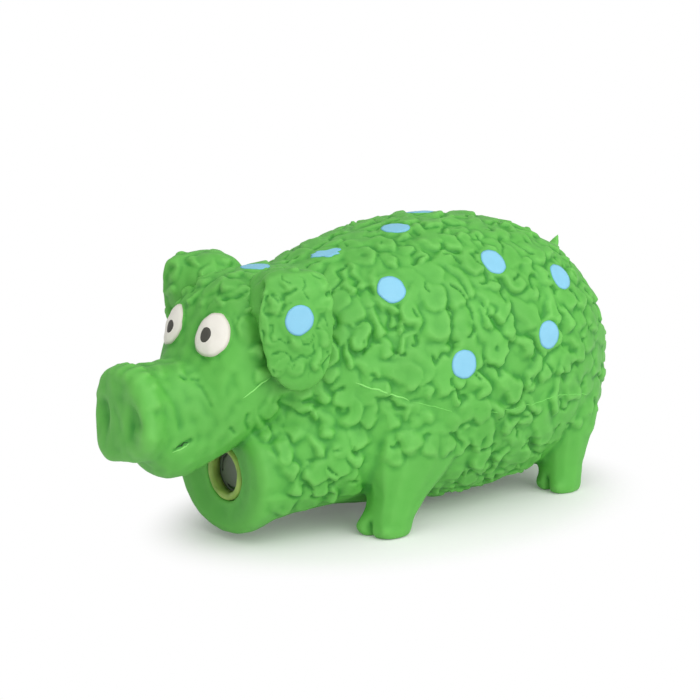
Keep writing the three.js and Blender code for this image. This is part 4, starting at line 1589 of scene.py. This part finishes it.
@dataclass
class Studio:
    """The camera, the lamps and the white floor.

    Attributes:
        view: The camera's azimuth and elevation, in degrees.
        focal_px: Its focal length in pixels of the photograph, which is image_px wide.
        shadow_place: The middle of the floor's part that shows the shadow, in metres.
        shadow_half: Half the size of that part.
        room_light: The strength of the white room's light.
        floor_size: Half the floor's side, in metres.
        floor_drop: How far it lies under the feet, in millimetres.
        lamp_target: Where the lamps look, in metres.
        lamp_distance: How far they stand from it.
        lamps: For each lamp its azimuth and elevation, its side in metres and its power.
    """

    view: Range = (51.0, 12.0)
    distance: float = 720.0
    target: Point = (0.0, -7.45, 62.2)
    focal_px: float = 1900.0
    image_px: float = 700.0
    sensor: float = 36.0
    shadow_place: Point = (0.008, 0.012, 0.0)
    shadow_half: Point = (0.078, 0.114, 1.0)
    room_light: float = 0.52
    floor_size: float = 6.0
    floor_drop: float = 0.1
    lamp_target: Point = (0.0, 0.0, 0.05)
    lamp_distance: float = 1.4
    lamps: tuple[tuple[str, Range, float, float], ...] = (
        ("key", (100.0, 28.0), 1.6, 12.5),
        ("top", (60.0, 75.0), 1.6, 7.0),
        ("fill", (20.0, 25.0), 1.4, 2.5),
    )

    @staticmethod
    def aim(name: str, data: Any, at: Vector, angles: Range, distance: float) -> Piece:
        """Adds a camera or a lamp that looks at a point.

        Args:
            name: Its name.
            data: Its camera or lamp.
            at: The point.
            angles: Its azimuth from the snout's side and its elevation, in degrees.
            distance: How far it stands from the point, in metres.

        Returns:
            The object.
        """
        a, e = map(math.radians, angles)
        away = Vector((math.sin(a) * math.cos(e), -math.cos(a) * math.cos(e), math.sin(e)))
        place = at + away * distance
        back = (place - at).normalized()
        right = Vector((0.0, 0.0, 1.0)).cross(back).normalized()
        turn = Matrix((right, back.cross(right), back)).transposed().to_4x4()
        thing = linked(name, data)
        thing.matrix_world = Matrix.Translation(place) @ turn
        return thing

    def camera(self) -> None:
        """Sets the camera at the photograph's viewing angle."""
        data = bpy.data.cameras.new("camera")
        data.sensor_width = self.sensor
        data.lens = self.focal_px / self.image_px * self.sensor
        data.clip_end = 20.0
        target = Vector(self.target) * MM
        thing = self.aim("camera", data, target, self.view, self.distance * MM)
        bpy.context.scene.camera = thing

    def light(self) -> None:
        """Adds the soft square lamps, which look at the toy."""
        for name, angles, size, watts in self.lamps:
            data = bpy.data.lights.new(name, "AREA")
            data.size = size
            data.energy = watts
            self.aim(name, data, Vector(self.lamp_target), angles, self.lamp_distance)

    def floor(self) -> None:
        """Lays a white sweep under the toy that keeps its shadow."""
        shape = bmesh.new()
        bmesh.ops.create_grid(shape, x_segments=2, y_segments=2, size=self.floor_size)
        piece = new_object("floor", shape)
        piece.location.z = -self.floor_drop * MM
        material = bpy.data.materials.new("white_paper_sweep")
        material.use_nodes = True
        tree = material.node_tree
        shader = tree.nodes["Principled BSDF"]
        feed(tree, shader, {"Base Color": linear("f4eff4"), "Roughness": 0.9})
        place = add_node(tree, "TexCoord").outputs["Object"]
        inputs = {"Vector": place, "Location": self.shadow_place, "Scale": self.shadow_half}
        under = add_node(tree, "Mapping", inputs, vector_type="TEXTURE").outputs["Vector"]
        away = add_node(tree, "VectorMath", {0: under}, operation="LENGTH").outputs["Value"]
        far = remap(tree, away, (0.7, 1.0), (0.0, 1.0), interpolation_type="SMOOTHSTEP")
        glow = add_node(tree, "Emission", {"Strength": 0.1})
        near = add_node(tree, "AddShader", {0: shader.outputs[0], 1: glow.outputs[0]})
        white = add_node(tree, "Emission", {"Strength": 1.0})
        shown = add_node(tree, "MixShader", {0: far, 1: near.outputs[0], 2: white.outputs[0]})
        seen = self.seen_by_camera(tree, shader, shown)
        feed(tree, tree.nodes["Material Output"], {"Surface": seen})
        piece.data.materials.append(material)

    @staticmethod
    def seen_by_camera(tree: Tree, hidden: bpy.types.Node, shown: bpy.types.Node) -> Socket:
        """A shader that the camera sees as shown and that lights the toy as hidden."""
        direct = add_node(tree, "LightPath").outputs["Is Camera Ray"]
        inputs = {0: direct, 1: hidden.outputs[0], 2: shown.outputs[0]}
        return add_node(tree, "MixShader", inputs).outputs[0]

    def world(self) -> None:
        """A white room."""
        world = bpy.data.worlds.new("studio")
        bpy.context.scene.world = world
        world.use_nodes = True
        tree = world.node_tree
        tree.nodes.clear()
        light, white = (
            add_node(tree, "Background", {"Color": (1.0, 1.0, 1.0, 1.0), "Strength": strength})
            for strength in (self.room_light, 1.0)
        )
        add_node(tree, "OutputWorld", {"Surface": self.seen_by_camera(tree, light, white)})

    def build(self) -> None:
        """Sets up the whole studio."""
        self.camera()
        self.floor()
        self.world()
        self.light()
        bpy.context.scene.view_settings.view_transform = "Standard"


def main() -> None:
    """Builds the toy piece by piece."""
    logging.basicConfig(level=logging.INFO, format="%(message)s")
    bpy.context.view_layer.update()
    Studio().build()
    finishes = Finishes()
    spots = SpotPaint()
    patches = [spots.patch(node) for node in spots.skin_nodes]
    skin = Skin([(patch.centre, patch.half[0]) for patch in patches])
    skin_piece, surface = skin.build(finishes)
    follow_skin(skin_piece)
    LOG.info("latex_skin is built")
    for patch in patches:
        follow_skin(patch.build(surface, finishes.blue))
    for eye in skin.eyes:
        white, pupil = eye_patches(eye)
        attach(white.build(surface, finishes.white), "root")
        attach(pupil.build(surface, finishes.black), "root")
    MouldMarks().build(surface, finishes)
    LOG.info("the paint and the mould's marks are laid")
    left = Ear(
        1,
        crest=((19.0, -56.5, 91.0), (12.0, 12.5, 10.0)),
        fill=((23.0, -58.5, 89.0), (9.0, 9.2, 11.0)),
    )
    for ear in (left, Ear(-1, taper=0.5)):
        patch = spots.patch(f"{ear.node}_spot")
        clay = ear.build(finishes, patch.centre)
        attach(patch.build(clay.tree(), finishes.blue), ear.node)
    Tail().build(finishes)
    LOG.info("the ears and the tail are built")
    mouth = SqueakerMouth()
    mouth.lip(finishes)
    mouth.dress_nodes(finishes)


if __name__ == "__main__":
    main()
